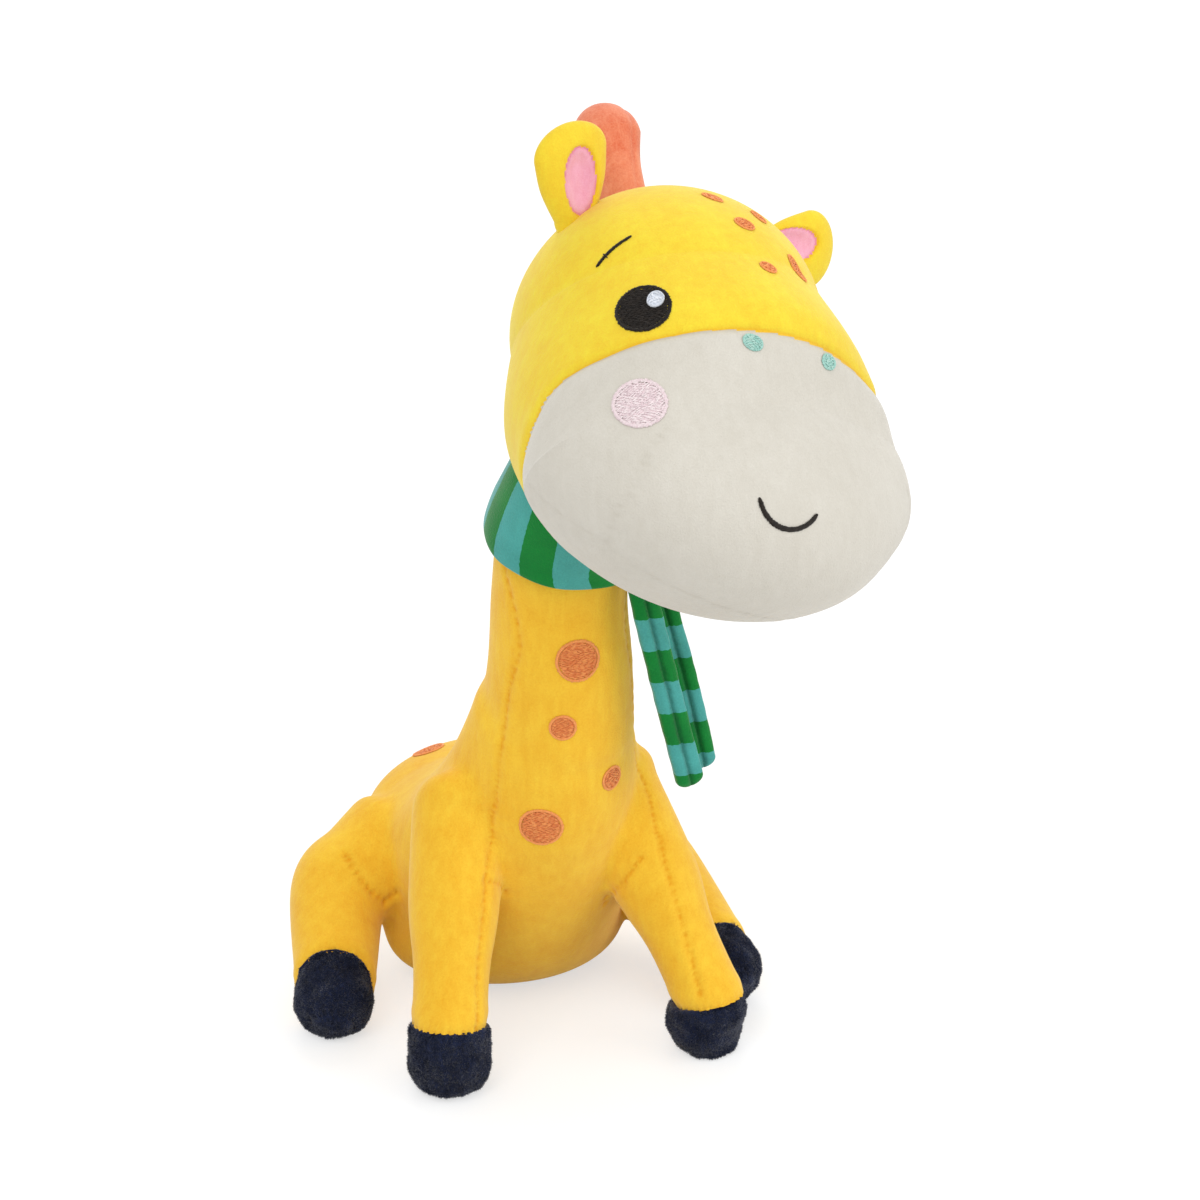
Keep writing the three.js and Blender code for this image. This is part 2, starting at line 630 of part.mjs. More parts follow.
const tuftForm = stuffedForm(
  tuftShares.map(([up, half, deep]) => [
    ...tuftRoot.clone().addScaledVector(tuftAlong, up * TUFT_LENGTH).toArray(),
    half * TUFT_WIDTH,
    deep * TUFT_WIDTH,
    deep * TUFT_WIDTH,
  ]),
  SIDES.tuft,
  STEPS.tuft,
  headAxis,
);
const tuftJoint = seamJoint(tuftRoot, headAxis, -TUFT_SWING_DEGREES, TUFT_SWING_DEGREES);
const tuft = cutBy(solidOf(tuftForm), swept(grown(headForm), seenFromPiece(tuftJoint)));
addPiece("mane_tuft", tuft, "orange", movingGroup("tuft", tuftJoint, headGroup));

// Hooves: a stuffed bulb cut square to the leg, and a sole let into its end

/** Adds a hoof and its sole to a leg's group. The bulb starts at the top, the sole's middle is the end. */
function addHoof(kind, name, rows, top, upLeg, end, outward, half, group) {
  const bulb = cutBy(solidOf(stuffedForm(rows, SIDES.hoof, STEPS.hoof)), underFloor, beyond(top, upLeg));
  const soleRound = (grow) => {
    const radius = half - SOLE_INSET + grow;
    const block = new THREE.CylinderGeometry(radius, radius, 2 * (SOLE_THICK + grow), SIDES.hoof);
    block.rotateX(Math.PI / 2).applyQuaternion(new THREE.Quaternion().setFromUnitVectors(UPWARD, outward));
    return solidOf(block.translate(...end.toArray()));
  };
  addPiece(kind + "_hoof_" + name, cutBy(bulb, soleRound(GAP)), "navy", group);
  addPiece(kind + "_sole_" + name, bulb.intersect(soleRound(0)), "navy", group);
}

// Forelegs, from shoulder to hoof: the way down, and how far the half width has gone over to the hoof's
const FORE_SEAM_LEAN_SHARE = 0.5; // how far the hoof's seam is turned square to the leg, from level
const forelegShares = [
  [0, 0],
  [0.45, 0],
  [0.75, 1],
  [1.05, 1],
];
// Up the hoof: height and half width as shares of the hoof's
const foreHoofShares = [
  [1.45, 0],
  [0.95, 0.5],
  [0.45, 0.51],
];
for (const { name, side } of PAIR) {
  const shoulder = point((side * SHOULDER_SPREAD) / 2 - SHOULDER_RIGHT, SHOULDER_BACK, SHOULDER_HEIGHT);
  const foot = point((side * FORE_HOOF_SPREAD) / 2, 0, 0);
  const ankle = foot.clone().setZ(FORE_HOOF_HEIGHT);
  const downLeg = ankle.clone().sub(shoulder).normalize();
  const half = FORELEG_WIDTH / 2;
  const legRows = forelegShares.map(([down, over]) =>
    round(shoulder.clone().lerp(ankle, down), lerp(half, FORE_HOOF_WIDTH / 2, over)),
  );
  legRows.unshift(round(shoulder.clone().addScaledVector(UPWARD, half), 0));
  legRows.push(round(ankle.clone().addScaledVector(downLeg, FORE_HOOF_WIDTH), 0));
  const joint = seamJoint(shoulder, LEFTWARD, -FORELEG_AHEAD_DEGREES, FORELEG_BACK_DEGREES[name]);
  const group = movingGroup("foreleg_" + name, joint);
  const bodySweep = swept(joined([grown(trunkForm), grown(neckForm)]), seenFromPiece(joint));
  const offHoof = DOWNWARD.clone().lerp(downLeg, FORE_SEAM_LEAN_SHARE).normalize();
  const leg = cutBy(solidOf(stuffedForm(legRows, SIDES.leg, STEPS.leg)), bodySweep, beyond(ankle, offHoof));
  addPiece("foreleg_" + name, leg, "yellow", group);

  const hoofRows = foreHoofShares.map(([up, wide]) =>
    round(foot.clone().setZ(up * FORE_HOOF_HEIGHT), wide * FORE_HOOF_WIDTH),
  );
  hoofRows.push(round(foot.clone().setZ(-HOOF_PRESS), 0));
  const hoofTop = ankle.clone().addScaledVector(offHoof, GAP);
  const upLeg = offHoof.clone().negate();
  addHoof("fore", name, hoofRows, hoofTop, upLeg, foot, DOWNWARD, FORE_HOOF_WIDTH / 2, group);
}

// Hind legs, from hip to knee and down to the foot: half widths as shares of the hip's, the last one of the
// hoof's.
const THIGH_SHARE = 0.6; // of the way from hip to knee
const hindHalfShares = { thigh: 0.45, knee: 0.41, ankle: 0.54 };
// Along the hoof from the foot's middle: way and half width as shares of the hoof's length and width
const hindHoofShares = [
  [-0.78, 0],
  [-0.35, 0.5],
  [0.1, 0.51],
  [0.55, 0],
];
const HIND_SEAM_SHARE = -0.45; // where along the hoof its seam lies
for (const { name, side } of PAIR) {
  const hip = point((side * HIP_SPREAD) / 2, HIP_BACK, HIP_HEIGHT);
  const knee = point(side * KNEE_ASIDE[name], KNEE_BACK[name], KNEE_HEIGHT[name]);
  const foot = point(side * HIND_HOOF_ASIDE[name], HIND_HOOF_BACK[name], HIND_HOOF_WIDTH / 2);
  const toFoot = foot.clone().sub(knee).normalize();
  const hoofPlace = (share) => foot.clone().addScaledVector(toFoot, share * HIND_HOOF_LENGTH);
  const ankle = hoofPlace(HIND_SEAM_SHARE);
  const legRows = [
    round(point(hip.x - (side * HIND_LEG_WIDTH) / 2, hip.y, hip.z), 0),
    round(hip, HIND_LEG_WIDTH / 2),
    round(hip.clone().lerp(knee, THIGH_SHARE), hindHalfShares.thigh * HIND_LEG_WIDTH),
    round(knee, hindHalfShares.knee * HIND_LEG_WIDTH),
    round(ankle, hindHalfShares.ankle * HIND_HOOF_WIDTH),
    round(foot, 0),
  ];
  const joint = seamJoint(hip, LEFTWARD, -HIND_LEG_UP_DEGREES[name], HIND_LEG_DOWN_DEGREES);
  const group = movingGroup("hind_leg_" + name, joint);
  const sweep = swept(grown(trunkForm), seenFromPiece(joint));
  const legForm = stuffedForm(legRows, SIDES.leg, STEPS.leg, UPWARD);
  const leg = cutBy(solidOf(legForm), sweep, beyond(ankle, toFoot), underFloor);
  addPiece("hind_leg_" + name, leg, "yellow", group);

  const hoofRows = hindHoofShares.map(([way, wide]) => round(hoofPlace(way), wide * HIND_HOOF_WIDTH));
  const hoofTop = ankle.clone().addScaledVector(toFoot, GAP);
  const toeEnd = hoofPlace(hindHoofShares.at(-1)[0]);
  const upLeg = toFoot.clone().negate();
  addHoof("hind", name, hoofRows, hoofTop, upLeg, toeEnd, toFoot, HIND_HOOF_WIDTH / 2, group);
}

// Tail with its own tuft, hanging from the rump
const TAIL_LEAN_DEGREES = 35; // back from straight down
const TAIL_TUFT_FROM_SHARE = 0.75; // where along the tail its tuft starts
// Along the tail and along its tuft: way and half width as shares of the length and width
const tailShares = [
  [-0.3, 0],
  [0, 0.5],
  [0.6, 0.43],
  [1, 0],
];
const tailTuftShares = [
  [0, 0],
  [0.35, 0.5],
  [0.6, 0.5],
  [1, 0],
];
const tailRoot = surfaceAt([trunkForm], rumpMiddle.clone().setZ(TAIL_HEIGHT), point(0, 1, 0)).place;
const tailLean = toRadians(TAIL_LEAN_DEGREES);
const tailAlong = point(0, Math.sin(tailLean), -Math.cos(tailLean));
/** A round form along the tail's direction, from a place, of a length and a width. */
function tailwardForm(shares, from, length, width) {
  const place = (way) => from.clone().addScaledVector(tailAlong, way * length);
  const rows = shares.map(([way, half]) => round(place(way), half * width));
  return stuffedForm(rows, SIDES.tail, STEPS.tail);
}
const tailTuftFrom = tailRoot.clone().addScaledVector(tailAlong, TAIL_TUFT_FROM_SHARE * TAIL_LENGTH);
const tailForm = tailwardForm(tailShares, tailRoot, TAIL_LENGTH, TAIL_WIDTH);
const tailTuftForm = tailwardForm(tailTuftShares, tailTuftFrom, TAIL_TUFT_LENGTH, TAIL_TUFT_WIDTH);
const tailJoint = seamJoint(tailRoot, LEFTWARD, -TAIL_SWING_DEGREES, TAIL_SWING_DEGREES);
const tailGroup = movingGroup("tail", tailJoint);
const tailSweep = swept(grown(trunkForm), seenFromPiece(tailJoint));
addPiece("tail", cutBy(solidOf(tailForm), tailSweep, grown(tailTuftForm)), "yellow", tailGroup);
addPiece("tail_tuft", cutBy(solidOf(tailTuftForm), tailSweep), "orange", tailGroup);

// Scarf: a band round the neck, and two tails that hang from its left front

const COLLAR_FROM_SHARE = 0.675; // where along the neck's rings the band starts
const neckRings = neckRows.slice(1, -1);
const neckCoil = new THREE.CatmullRomCurve3(neckRings.map(([x, y, z]) => point(x, y, z)));
const collarStart = COLLAR_FROM_SHARE * (neckRings.length - 1);
const collarSpan = (COLLAR_HEIGHT / neckCoil.getLength()) * (neckRings.length - 1);
/** A point of the band: how far along the neck's rings, the angle round it, and how far off the neck. */
function collarPoint(at, angle, off) {
  const ring = between(neckRings, at);
  const along = neckCoil.getTangent(at / (neckRings.length - 1));
  const [wide, deep] = acrossPath(along, LEFTWARD);
  return point(...ring.slice(0, 3))
    .addScaledVector(wide, (ring[3] + off) * Math.cos(angle))
    .addScaledVector(deep, (ring[4] + off) * Math.sin(angle));
}
/** A number from -1 to 1 pulled towards its nearer end, which squares off the band's round corners. */
const squared = (value) => Math.sign(value) * Math.sqrt(Math.abs(value));
const collarPlaces = [];
const collarIndex = [];
const corner = (j, k) => (j % SCARF_SIDES.collar) * COLLAR_CORNERS + (k % COLLAR_CORNERS);
for (let j = 0; j < SCARF_SIDES.collar; j++) {
  for (let k = 0; k < COLLAR_CORNERS; k++) {
    const turn = ((2 * k + 1) / COLLAR_CORNERS) * Math.PI;
    const at = collarStart + (collarSpan * (1 + squared(Math.cos(turn)))) / 2;
    const off = 2 * GAP + (COLLAR_THICK * (1 + squared(Math.sin(turn)))) / 2;
    collarPlaces.push(...collarPoint(at, (j / SCARF_SIDES.collar) * 2 * Math.PI, off).toArray());
    collarIndex.push(corner(j, k), corner(j + 1, k + 1), corner(j, k + 1));
    collarIndex.push(corner(j, k), corner(j + 1, k), corner(j + 1, k + 1));
  }
}
const collarForm = new THREE.BufferGeometry()
  .setAttribute("position", new THREE.Float32BufferAttribute(collarPlaces, 3))
  .setIndex(collarIndex);
addPiece("scarf_collar", cutBy(solidOf(collarForm), headSweep, grown(neckForm)), "green");

// Scarf tails: degrees round from the collar's left side to its front, and each path below its seam as shares
// of its length to the left, to the back and up. The path's ends are the poles, and the rest is full width.
const SCARF_TAIL_AROUND_DEGREES = { scarf_tail_front: 50, scarf_tail_side: 20 };
const scarfTailShares = {
  scarf_tail_front: [
    [0, 0, 0.06],
    [0, 0, 0],
    [0.03, -0.015, -0.167],
    [0.135, -0.015, -0.6],
    [0.225, -0.015, -0.96],
    [0.232, -0.015, -1],
  ],
  scarf_tail_side: [
    [-0.03, -0.02, 0.06],
    [-0.03, -0.02, 0],
    [0.03, -0.05, -0.24],
    [0.12, -0.075, -0.6],
    [0.2, -0.09, -0.96],
    [0.205, -0.09, -1],
  ],
};
const scarfTailHalves = [SCARF_TAIL_WIDTH / 2, SCARF_TAIL_THICK / 2, SCARF_TAIL_THICK / 2];
/** The section of a tail, with a fold down the middle of both faces. */
function foldedSection(angle) {
  const inFold = Math.abs(Math.cos(angle)) < Math.sin(Math.PI / SCARF_SIDES.tail);
  return inFold ? 1 - (2 * SCARF_TAIL_GROOVE) / SCARF_TAIL_THICK : 1;
}
const scarfTailOff = COLLAR_THICK + 3 * GAP + SCARF_TAIL_THICK / 2;
for (const [name, path] of Object.entries(scarfTailShares)) {
  const around = toRadians(SCARF_TAIL_AROUND_DEGREES[name]);
  const root = collarPoint(collarStart, around, scarfTailOff);
  const rows = path.map(([left, back, up], i) => {
    const full = i > 0 && i < path.length - 1 ? 1 : 0;
    const place = root.clone().add(point(left, back, up).multiplyScalar(SCARF_TAIL_LENGTH));
    return [...place.toArray(), ...scarfTailHalves.map((size) => full * size)];
  });
  const form = stuffedForm(rows, SCARF_SIDES.tail, STEPS.scarf, LEFTWARD, foldedSection);
  const joint = seamJoint(root, point(-Math.sin(around), -Math.cos(around), 0), 0, SCARF_OUT_DEGREES);
  const room = swept(joined([headSweep, grown(neckForm), grown(collarForm)]), seenFromPiece(joint));
  addPiece(name, cutBy(solidOf(form), room), "teal", movingGroup(name, joint));
}

giraffe.updateMatrixWorld(true);
const bounds = new THREE.Box3().setFromObject(giraffe);
const middle = bounds.getCenter(point());
giraffe.position.set(-middle.x, -middle.y, -bounds.min.z);
export default giraffe;
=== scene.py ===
"""Dresses the sitting plush giraffe: stuffed cloth, fleece hooves, embroidery and a striped scarf.

Lengths in the tables are in millimetres in the toy's own layout: x to its left, y to its back, z up, with y = 0 under
the fore hooves. ToyFrame turns them into the model's frame, in metres.
"""

import json
import logging
import math
from dataclasses import dataclass, field
from enum import Enum
from typing import Callable, Iterable, Sequence

import bpy
import numpy as np
from mathutils import Matrix, Vector
from mathutils.bvhtree import BVHTree
from mathutils.noise import noise

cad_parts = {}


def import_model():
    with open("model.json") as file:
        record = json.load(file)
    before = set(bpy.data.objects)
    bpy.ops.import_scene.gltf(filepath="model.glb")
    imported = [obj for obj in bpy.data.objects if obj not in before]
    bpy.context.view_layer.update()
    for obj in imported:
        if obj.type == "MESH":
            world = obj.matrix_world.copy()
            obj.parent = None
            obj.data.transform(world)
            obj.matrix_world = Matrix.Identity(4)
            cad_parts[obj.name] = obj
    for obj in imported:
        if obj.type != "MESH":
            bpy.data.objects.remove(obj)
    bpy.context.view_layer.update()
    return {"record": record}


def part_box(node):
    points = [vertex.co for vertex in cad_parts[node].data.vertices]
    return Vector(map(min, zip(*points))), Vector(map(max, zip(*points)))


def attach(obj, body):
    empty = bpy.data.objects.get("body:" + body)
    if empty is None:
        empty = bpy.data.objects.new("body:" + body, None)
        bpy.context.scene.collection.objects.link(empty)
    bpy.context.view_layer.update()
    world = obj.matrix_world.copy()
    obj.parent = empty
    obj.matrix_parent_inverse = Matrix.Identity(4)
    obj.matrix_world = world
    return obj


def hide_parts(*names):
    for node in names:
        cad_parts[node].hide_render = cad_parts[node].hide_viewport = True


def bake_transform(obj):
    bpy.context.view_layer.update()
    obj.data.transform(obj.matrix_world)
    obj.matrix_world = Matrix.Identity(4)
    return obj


LOG = logging.getLogger("giraffe")
MM = 0.001
UP = np.array([0.0, 0.0, 1.0])
LEFTWARD = np.array([1.0, 0.0, 0.0])
SIDES = {"right": -1, "left": 1}
BATCH = 4000
FAR = 200.0
Faces = list[tuple[int, ...]]


# ---- Finishes


def tone(red: int, green: int, blue: int) -> tuple[float, float, float, float]:
    """A colour of 0 to 255 a channel, as it shows, made linear for a shader.

    Args:
        red, green, blue: the channels.

    Returns:
        Linear red, green and blue, and an alpha of 1.
    """
    part = [v / 255 for v in (red, green, blue)]
    return (*[v / 12.92 if v <= 0.04045 else ((v + 0.055) / 1.055) ** 2.4 for v in part], 1.0)


class Value:
    """A number in a shader, which Python's operators combine by adding Math nodes."""

    def __init__(self, shader: "Shader", socket: bpy.types.NodeSocket) -> None:
        """Wraps a socket of the shader."""
        self.shader, self.socket = shader, socket

    def _with(self, operation: str, first: object, second: object) -> "Value":
        """A Math node on two values."""
        return self.shader.add("ShaderNodeMath", {"operation": operation}, {0: first, 1: second})

    def __add__(self, other: object) -> "Value":
        """self + other."""
        return self._with("ADD", self, other)

    __radd__ = __add__

    def __sub__(self, other: object) -> "Value":
        """self - other."""
        return self._with("SUBTRACT", self, other)

    def __rsub__(self, other: object) -> "Value":
        """other - self."""
        return self._with("SUBTRACT", other, self)

    def __mul__(self, other: object) -> "Value":
        """self * other."""
        return self._with("MULTIPLY", self, other)

    __rmul__ = __mul__

    def __gt__(self, other: object) -> "Value":
        """1 where self is above other."""
        return self._with("GREATER_THAN", self, other)

    def wrapped(self) -> "Value":
        """The fraction of the value."""
        return self._with("FRACT", self, 0.0)


class Shader:
    """The nodes of one material, or of the world."""

    def __init__(self, owner: bpy.types.Material | bpy.types.World) -> None:
        """Starts with no nodes.

        Args:
            owner: the material or the world.
        """
        self.owner = owner
        owner.use_nodes = True
        self.tree = owner.node_tree
        self.tree.nodes.clear()

    def add(self, kind: str, settings: dict | None = None, sockets: dict | None = None, out: object = 0) -> Value:
        """Adds a node.

        Args:
            kind: the node's type.
            settings: its settings; a colour ramp's stops are given as "stops".
            sockets: values or links by socket name or number.
            out: the output to return.

        Returns:
            The output as a value.
        """
        node = self.tree.nodes.new(kind)
        for key, value in (settings or {}).items():
            setattr(node, key, value)
        for key, value in (sockets or {}).items():
            if isinstance(value, Value):
                self.tree.links.new(value.socket, node.inputs[key])
            else:
                node.inputs[key].default_value = value
        return Value(self, node.outputs[out])

    def mixed(self, share: object, first: object, second: object) -> Value:
        """A colour between two colours."""
        return self.add("ShaderNodeMix", {"data_type": "RGBA"}, {0: share, 6: first, 7: second}, 2)

    def noise(self, place: Value, per_metre: float, detail: float = 2.0, rough: float = 0.5) -> Value:
        """Smooth noise over a place, from 0 to 1."""
        sockets = {"Vector": place, "Scale": per_metre, "Detail": detail, "Roughness": rough}
        return self.add("ShaderNodeTexNoise", {}, sockets, "Fac")

    def place(self, scale: tuple[float, float, float] = (1, 1, 1)) -> Value:
        """The piece's own coordinates, in metres, stretched by a scale."""
        here = self.add("ShaderNodeTexCoord", out="Object")
        return self.add("ShaderNodeMapping", {}, {"Vector": here, "Scale": scale})

    def attribute(self, name: str) -> Value:
        """A number that the mesh holds at each point."""
        return self.add("ShaderNodeAttribute", {"attribute_name": name}, out="Fac")

    def finish(self, base: object, height: Value, depth_mm: float, settings: dict) -> bpy.types.Material:
        """Closes the material with a Principled shader and a bump.

        Args:
            base: the base colour.
            height: the bump's height, about 0 to 1.
            depth_mm: how deep the bump is.
            settings: other sockets of the shader.

        Returns:
            The material.
        """
        bump = self.add("ShaderNodeBump", {}, {"Height": height, "Distance": depth_mm * MM, "Strength": 1.0})
        sockets = {"Base Color": base, "Normal": bump, "Specular IOR Level": 0.15, **settings}
        surface = self.add("ShaderNodeBsdfPrincipled", {}, sockets)
        self.close(surface, "ShaderNodeOutputMaterial")
        return self.owner

    def seen(self) -> Value:
        """1 where a camera, glossy or transmission ray looks, and 0 for the light that falls on things."""
        rays = ("Is Camera Ray", "Is Glossy Ray", "Is Transmission Ray")
        path = [self.add("ShaderNodeLightPath", out=name) for name in rays]
        return path[0] + path[1] + path[2]

    def close(self, surface: Value, kind: str) -> None:
        """Links a surface to an output of a kind."""
        node = self.tree.nodes.new(kind)
        self.tree.links.new(surface.socket, node.inputs["Surface"])


@dataclass(frozen=True)
class PlushFinish:
    """Short brushed pile: mottled where it leans differently, with a grain of fibre ends and darker seams."""

    name: str
    slot: str
    light: tuple[float, float, float, float]
    deep: tuple[float, float, float, float]
    grain_mm: float = 0.55
    depth_mm: float = 0.25
    streak_mm: float = 2.6
    sheen: float = 0.5
    contrast: float = 0.7

    def build(self) -> bpy.types.Material:
        """Makes the material: two tones by the way the pile leans, darker at the seams.

        Returns:
            The material.
        """
        shader = Shader(bpy.data.materials.new(self.name))
        here = shader.place()
        brushed = shader.place((1.0, 1.0, 0.3))
        broad = shader.noise(here, 1 / (17 * MM), 3)
        streak = shader.noise(brushed, 1 / (self.streak_mm * MM), 3, 0.6)
        grain = shader.noise(here, 1 / (self.grain_mm * MM), 2, 0.6)
        nap = broad * 0.34 + streak * 0.36 + grain * 0.3
        seam = shader.attribute("seam")
        share = (nap - 0.5) * (3.2 * self.contrast) + 0.6 - seam * 0.8
        base = shader.mixed(share, self.deep, self.light)
        height = grain * 0.6 + streak * 0.4 - seam * 0.5
        settings = {
            "Roughness": 0.92,
            "Sheen Weight": self.sheen,
            "Sheen Roughness": 0.45,
            "Sheen Tint": tuple((1 + v) / 2 for v in self.light),
        }
        return shader.finish(base, height, self.depth_mm, settings)


@dataclass(frozen=True)
class ScarfFinish:
    """Fine knitted cloth in two colours; the mesh holds how far along the stripes each point lies."""

    name: str
    slot: str
    green: tuple[float, float, float, float]
    teal: tuple[float, float, float, float]
    stripe_mm: float = 10.1

    def build(self) -> bpy.types.Material:
        """Makes the material: stripes of two colours, with a fine grain.

        Returns:
            The material.
        """
        shader = Shader(bpy.data.materials.new(self.name))
        here = shader.place()
        waver = (shader.noise(here, 1 / (1.2 * MM), 1) - 0.5) * 0.03
        way = shader.attribute("stripe_way") * (1 / (2 * self.stripe_mm)) + waver
        stripe = way.wrapped() > 0.5
        grain = shader.noise(here, 1 / (0.5 * MM), 2, 0.6)
        broad = shader.noise(here, 1 / (9 * MM), 2)
        cloth = shader.mixed(stripe, self.green, self.teal)
        dark = shader.mixed(0.55, cloth, tone(8, 60, 40))
        seam = shader.attribute("seam")
        share = (grain * 0.5 + broad * 0.5 - 0.5) * 1.5 + 0.72 - seam * 0.8
        base = shader.mixed(share, dark, cloth)
        settings = {"Roughness": 0.85, "Sheen Weight": 0.3, "Sheen Roughness": 0.4}
        return shader.finish(base, grain - seam, 0.16, settings)


@dataclass(frozen=True)
class ThreadFinish:
    """Embroidery thread: a soft shine and a tone that changes a little from stitch to stitch."""

    name: str
    slot: str
    light: tuple[float, float, float, float]
    deep: tuple[float, float, float, float]
    shine: float = 0.42

    def build(self) -> bpy.types.Material:
        """Makes the material: a tone for each stitch, with a trace of its fibres.

        Returns:
            The material.
        """
        shader = Shader(bpy.data.materials.new(self.name))
        here = shader.place()
        stitch = shader.attribute("stitch")
        fibre = shader.noise(here, 1 / (0.22 * MM), 1)
        base = shader.mixed(stitch * 0.8 + fibre * 0.35, self.deep, self.light)
        settings = {"Roughness": self.shine, "Sheen Weight": 0.15}
        return shader.finish(base, fibre, 0.04, settings)


class Finish(Enum):
    """The toy's finishes."""

    # The next two finishes are one yellow plush in two copies: a warmer, darker one with painted shade for the trunk,
    # legs and tail, and a lighter, lemon one with painted top light for the head and ears.
    BODY = PlushFinish("body_plush", "yellow_plush", tone(247, 205, 62), tone(230, 162, 30))
    CROWN = PlushFinish("crown_plush", "yellow_plush", tone(240, 221, 60), tone(232, 184, 44), grain_mm=0.5)
    CREAM = PlushFinish("cream_plush", "cream_plush", tone(216, 212, 202), tone(194, 188, 175), contrast=0.42)
    NAVY = PlushFinish(
        "navy_fleece", "navy_plush", tone(35, 45, 76), tone(10, 12, 24), 0.8, 0.5, 1.8, sheen=0.55, contrast=1.0
    )
    TUFT = PlushFinish(
        "tuft_plush", "orange_plush", tone(238, 152, 118), tone(212, 96, 62), streak_mm=3.4, contrast=1.0
    )
    PINK = PlushFinish("lining_cloth", "pink_cloth", tone(245, 192, 220), tone(222, 136, 168), 0.4, 0.1)
    POUCH = PlushFinish("pouch_cloth", "pellet_bag_cloth", tone(236, 236, 230), tone(200, 200, 192), 0.4, 0.1)
    SCARF = ScarfFinish("scarf_knit", "scarf_cloth", tone(14, 130, 52), tone(80, 172, 166))
    ORANGE = ThreadFinish("orange_thread", "orange_thread", tone(248, 168, 98), tone(208, 100, 50))
    TEAL = ThreadFinish("teal_thread", "teal_thread", tone(196, 226, 216), tone(128, 192, 180))
    BLACK = ThreadFinish("black_thread", "black_thread", tone(40, 32, 25), tone(8, 6, 5), 0.6)
    WHITE = ThreadFinish("white_thread", "white_thread", tone(246, 248, 252), tone(206, 214, 226))
    BLUSH = ThreadFinish("blush_thread", "blush_thread", tone(247, 236, 236), tone(222, 198, 204))


class Dresser:
    """Gives pieces their finish, hides the CAD nodes that they replace, and keeps each finish's one material."""

    def __init__(self) -> None:
        """Starts with no materials."""
        self.made: dict[Finish, bpy.types.Material] = {}

    def dress(self, piece: bpy.types.Object, finish: Finish, nodes: Sequence[str], fill: float | None = None) -> None:
        """Puts a finish on a piece, hides the CAD nodes that it stands for and logs its size.

        Args:
            piece: the piece.
            finish: its finish.
            nodes: the CAD nodes that it replaces.
            fill: not used.
        """
        if finish not in self.made:
            self.made[finish] = finish.value.build()
        piece.data.materials.clear()
        piece.data.materials.append(self.made[finish])
        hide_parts(*nodes)
        LOG.info("%s: %d faces, %s", piece.name, len(piece.data.polygons), finish.value.name)


# ---- Forms


@dataclass(frozen=True)
class ToyFrame:
    """Where the toy's own layout lies in the model's frame."""

    shift: np.ndarray

    @classmethod
    def from_joint(cls, record: dict, name: str, place: Sequence[float]) -> "ToyFrame":
        """Finds the shift from a joint whose place in the toy's layout is known.

        Args:
            record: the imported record.
            name: the joint's name.
            place: its place, in millimetres.

        Returns:
            The frame.
        """
        joint = next(j for j in record["behaviour"]["joints"] if j["name"] == name)
        return cls(np.array(joint["pos_m"]) / MM - np.array(place))

    def metres(self, points: np.ndarray) -> np.ndarray:
        """Points of the toy's layout in the model's frame."""
        return (np.asarray(points, float) + self.shift) * MM

    def millimetres(self, points: np.ndarray) -> np.ndarray:
        """Points of the model's frame in the toy's layout."""
        return np.asarray(points, float) / MM - self.shift


@dataclass
class Form:
    """Points in the toy's layout and the faces between them."""

    points: np.ndarray
    faces: Faces

    def piece(self, toy: ToyFrame, name: str) -> bpy.types.Object:
        """Makes the form a smooth Blender object in the model's frame.

        Args:
            toy: the toy's frame.
            name: the object's name.

        Returns:
            The object.
        """
        mesh = bpy.data.meshes.new(name)
        mesh.from_pydata(toy.metres(self.points).tolist(), [], self.faces)
        mesh.polygons.foreach_set("use_smooth", [True] * len(mesh.polygons))
        mesh.update()
        made = bpy.data.objects.new(name, mesh)
        bpy.context.collection.objects.link(made)
        return made

    def normals(self) -> np.ndarray:
        """Measures each point's outward direction.

        Returns:
            A direction for each point.
        """
        mesh = bpy.data.meshes.new("measure")
        mesh.from_pydata(self.points.tolist(), [], self.faces)
        out = np.empty(len(mesh.vertices) * 3)
        mesh.vertex_normals.foreach_get("vector", out)
        bpy.data.meshes.remove(mesh)
        return out.reshape(-1, 3)

    def tree(self) -> BVHTree:
        """A tree that finds points on the form."""
        return BVHTree.FromPolygons(self.points.tolist(), self.faces)


def unit(v: np.ndarray) -> np.ndarray:
    """The vectors at length 1."""
    return v / np.linalg.norm(v, axis=-1, keepdims=True)


def smooth_rows(rows: np.ndarray, at: np.ndarray) -> np.ndarray:
    """Rows between the rows of a table, on a smooth curve through all of them.

    Args:
        rows: the table.
        at: places along it, in rows.

    Returns:
        A row of numbers for each place.
    """
    last = len(rows) - 1
    first = np.clip(np.floor(at).astype(int), 0, last - 1)
    t = (at - first)[:, None]
    before, start, end, after = (rows[np.clip(first + k, 0, last)] for k in (-1, 0, 1, 2))
    leaving, arriving, rise = (end - before) / 2, (after - start) / 2, end - start
    return start + t * (leaving + t * (3 * rise - 2 * leaving - arriving + t * (leaving + arriving - 2 * rise)))


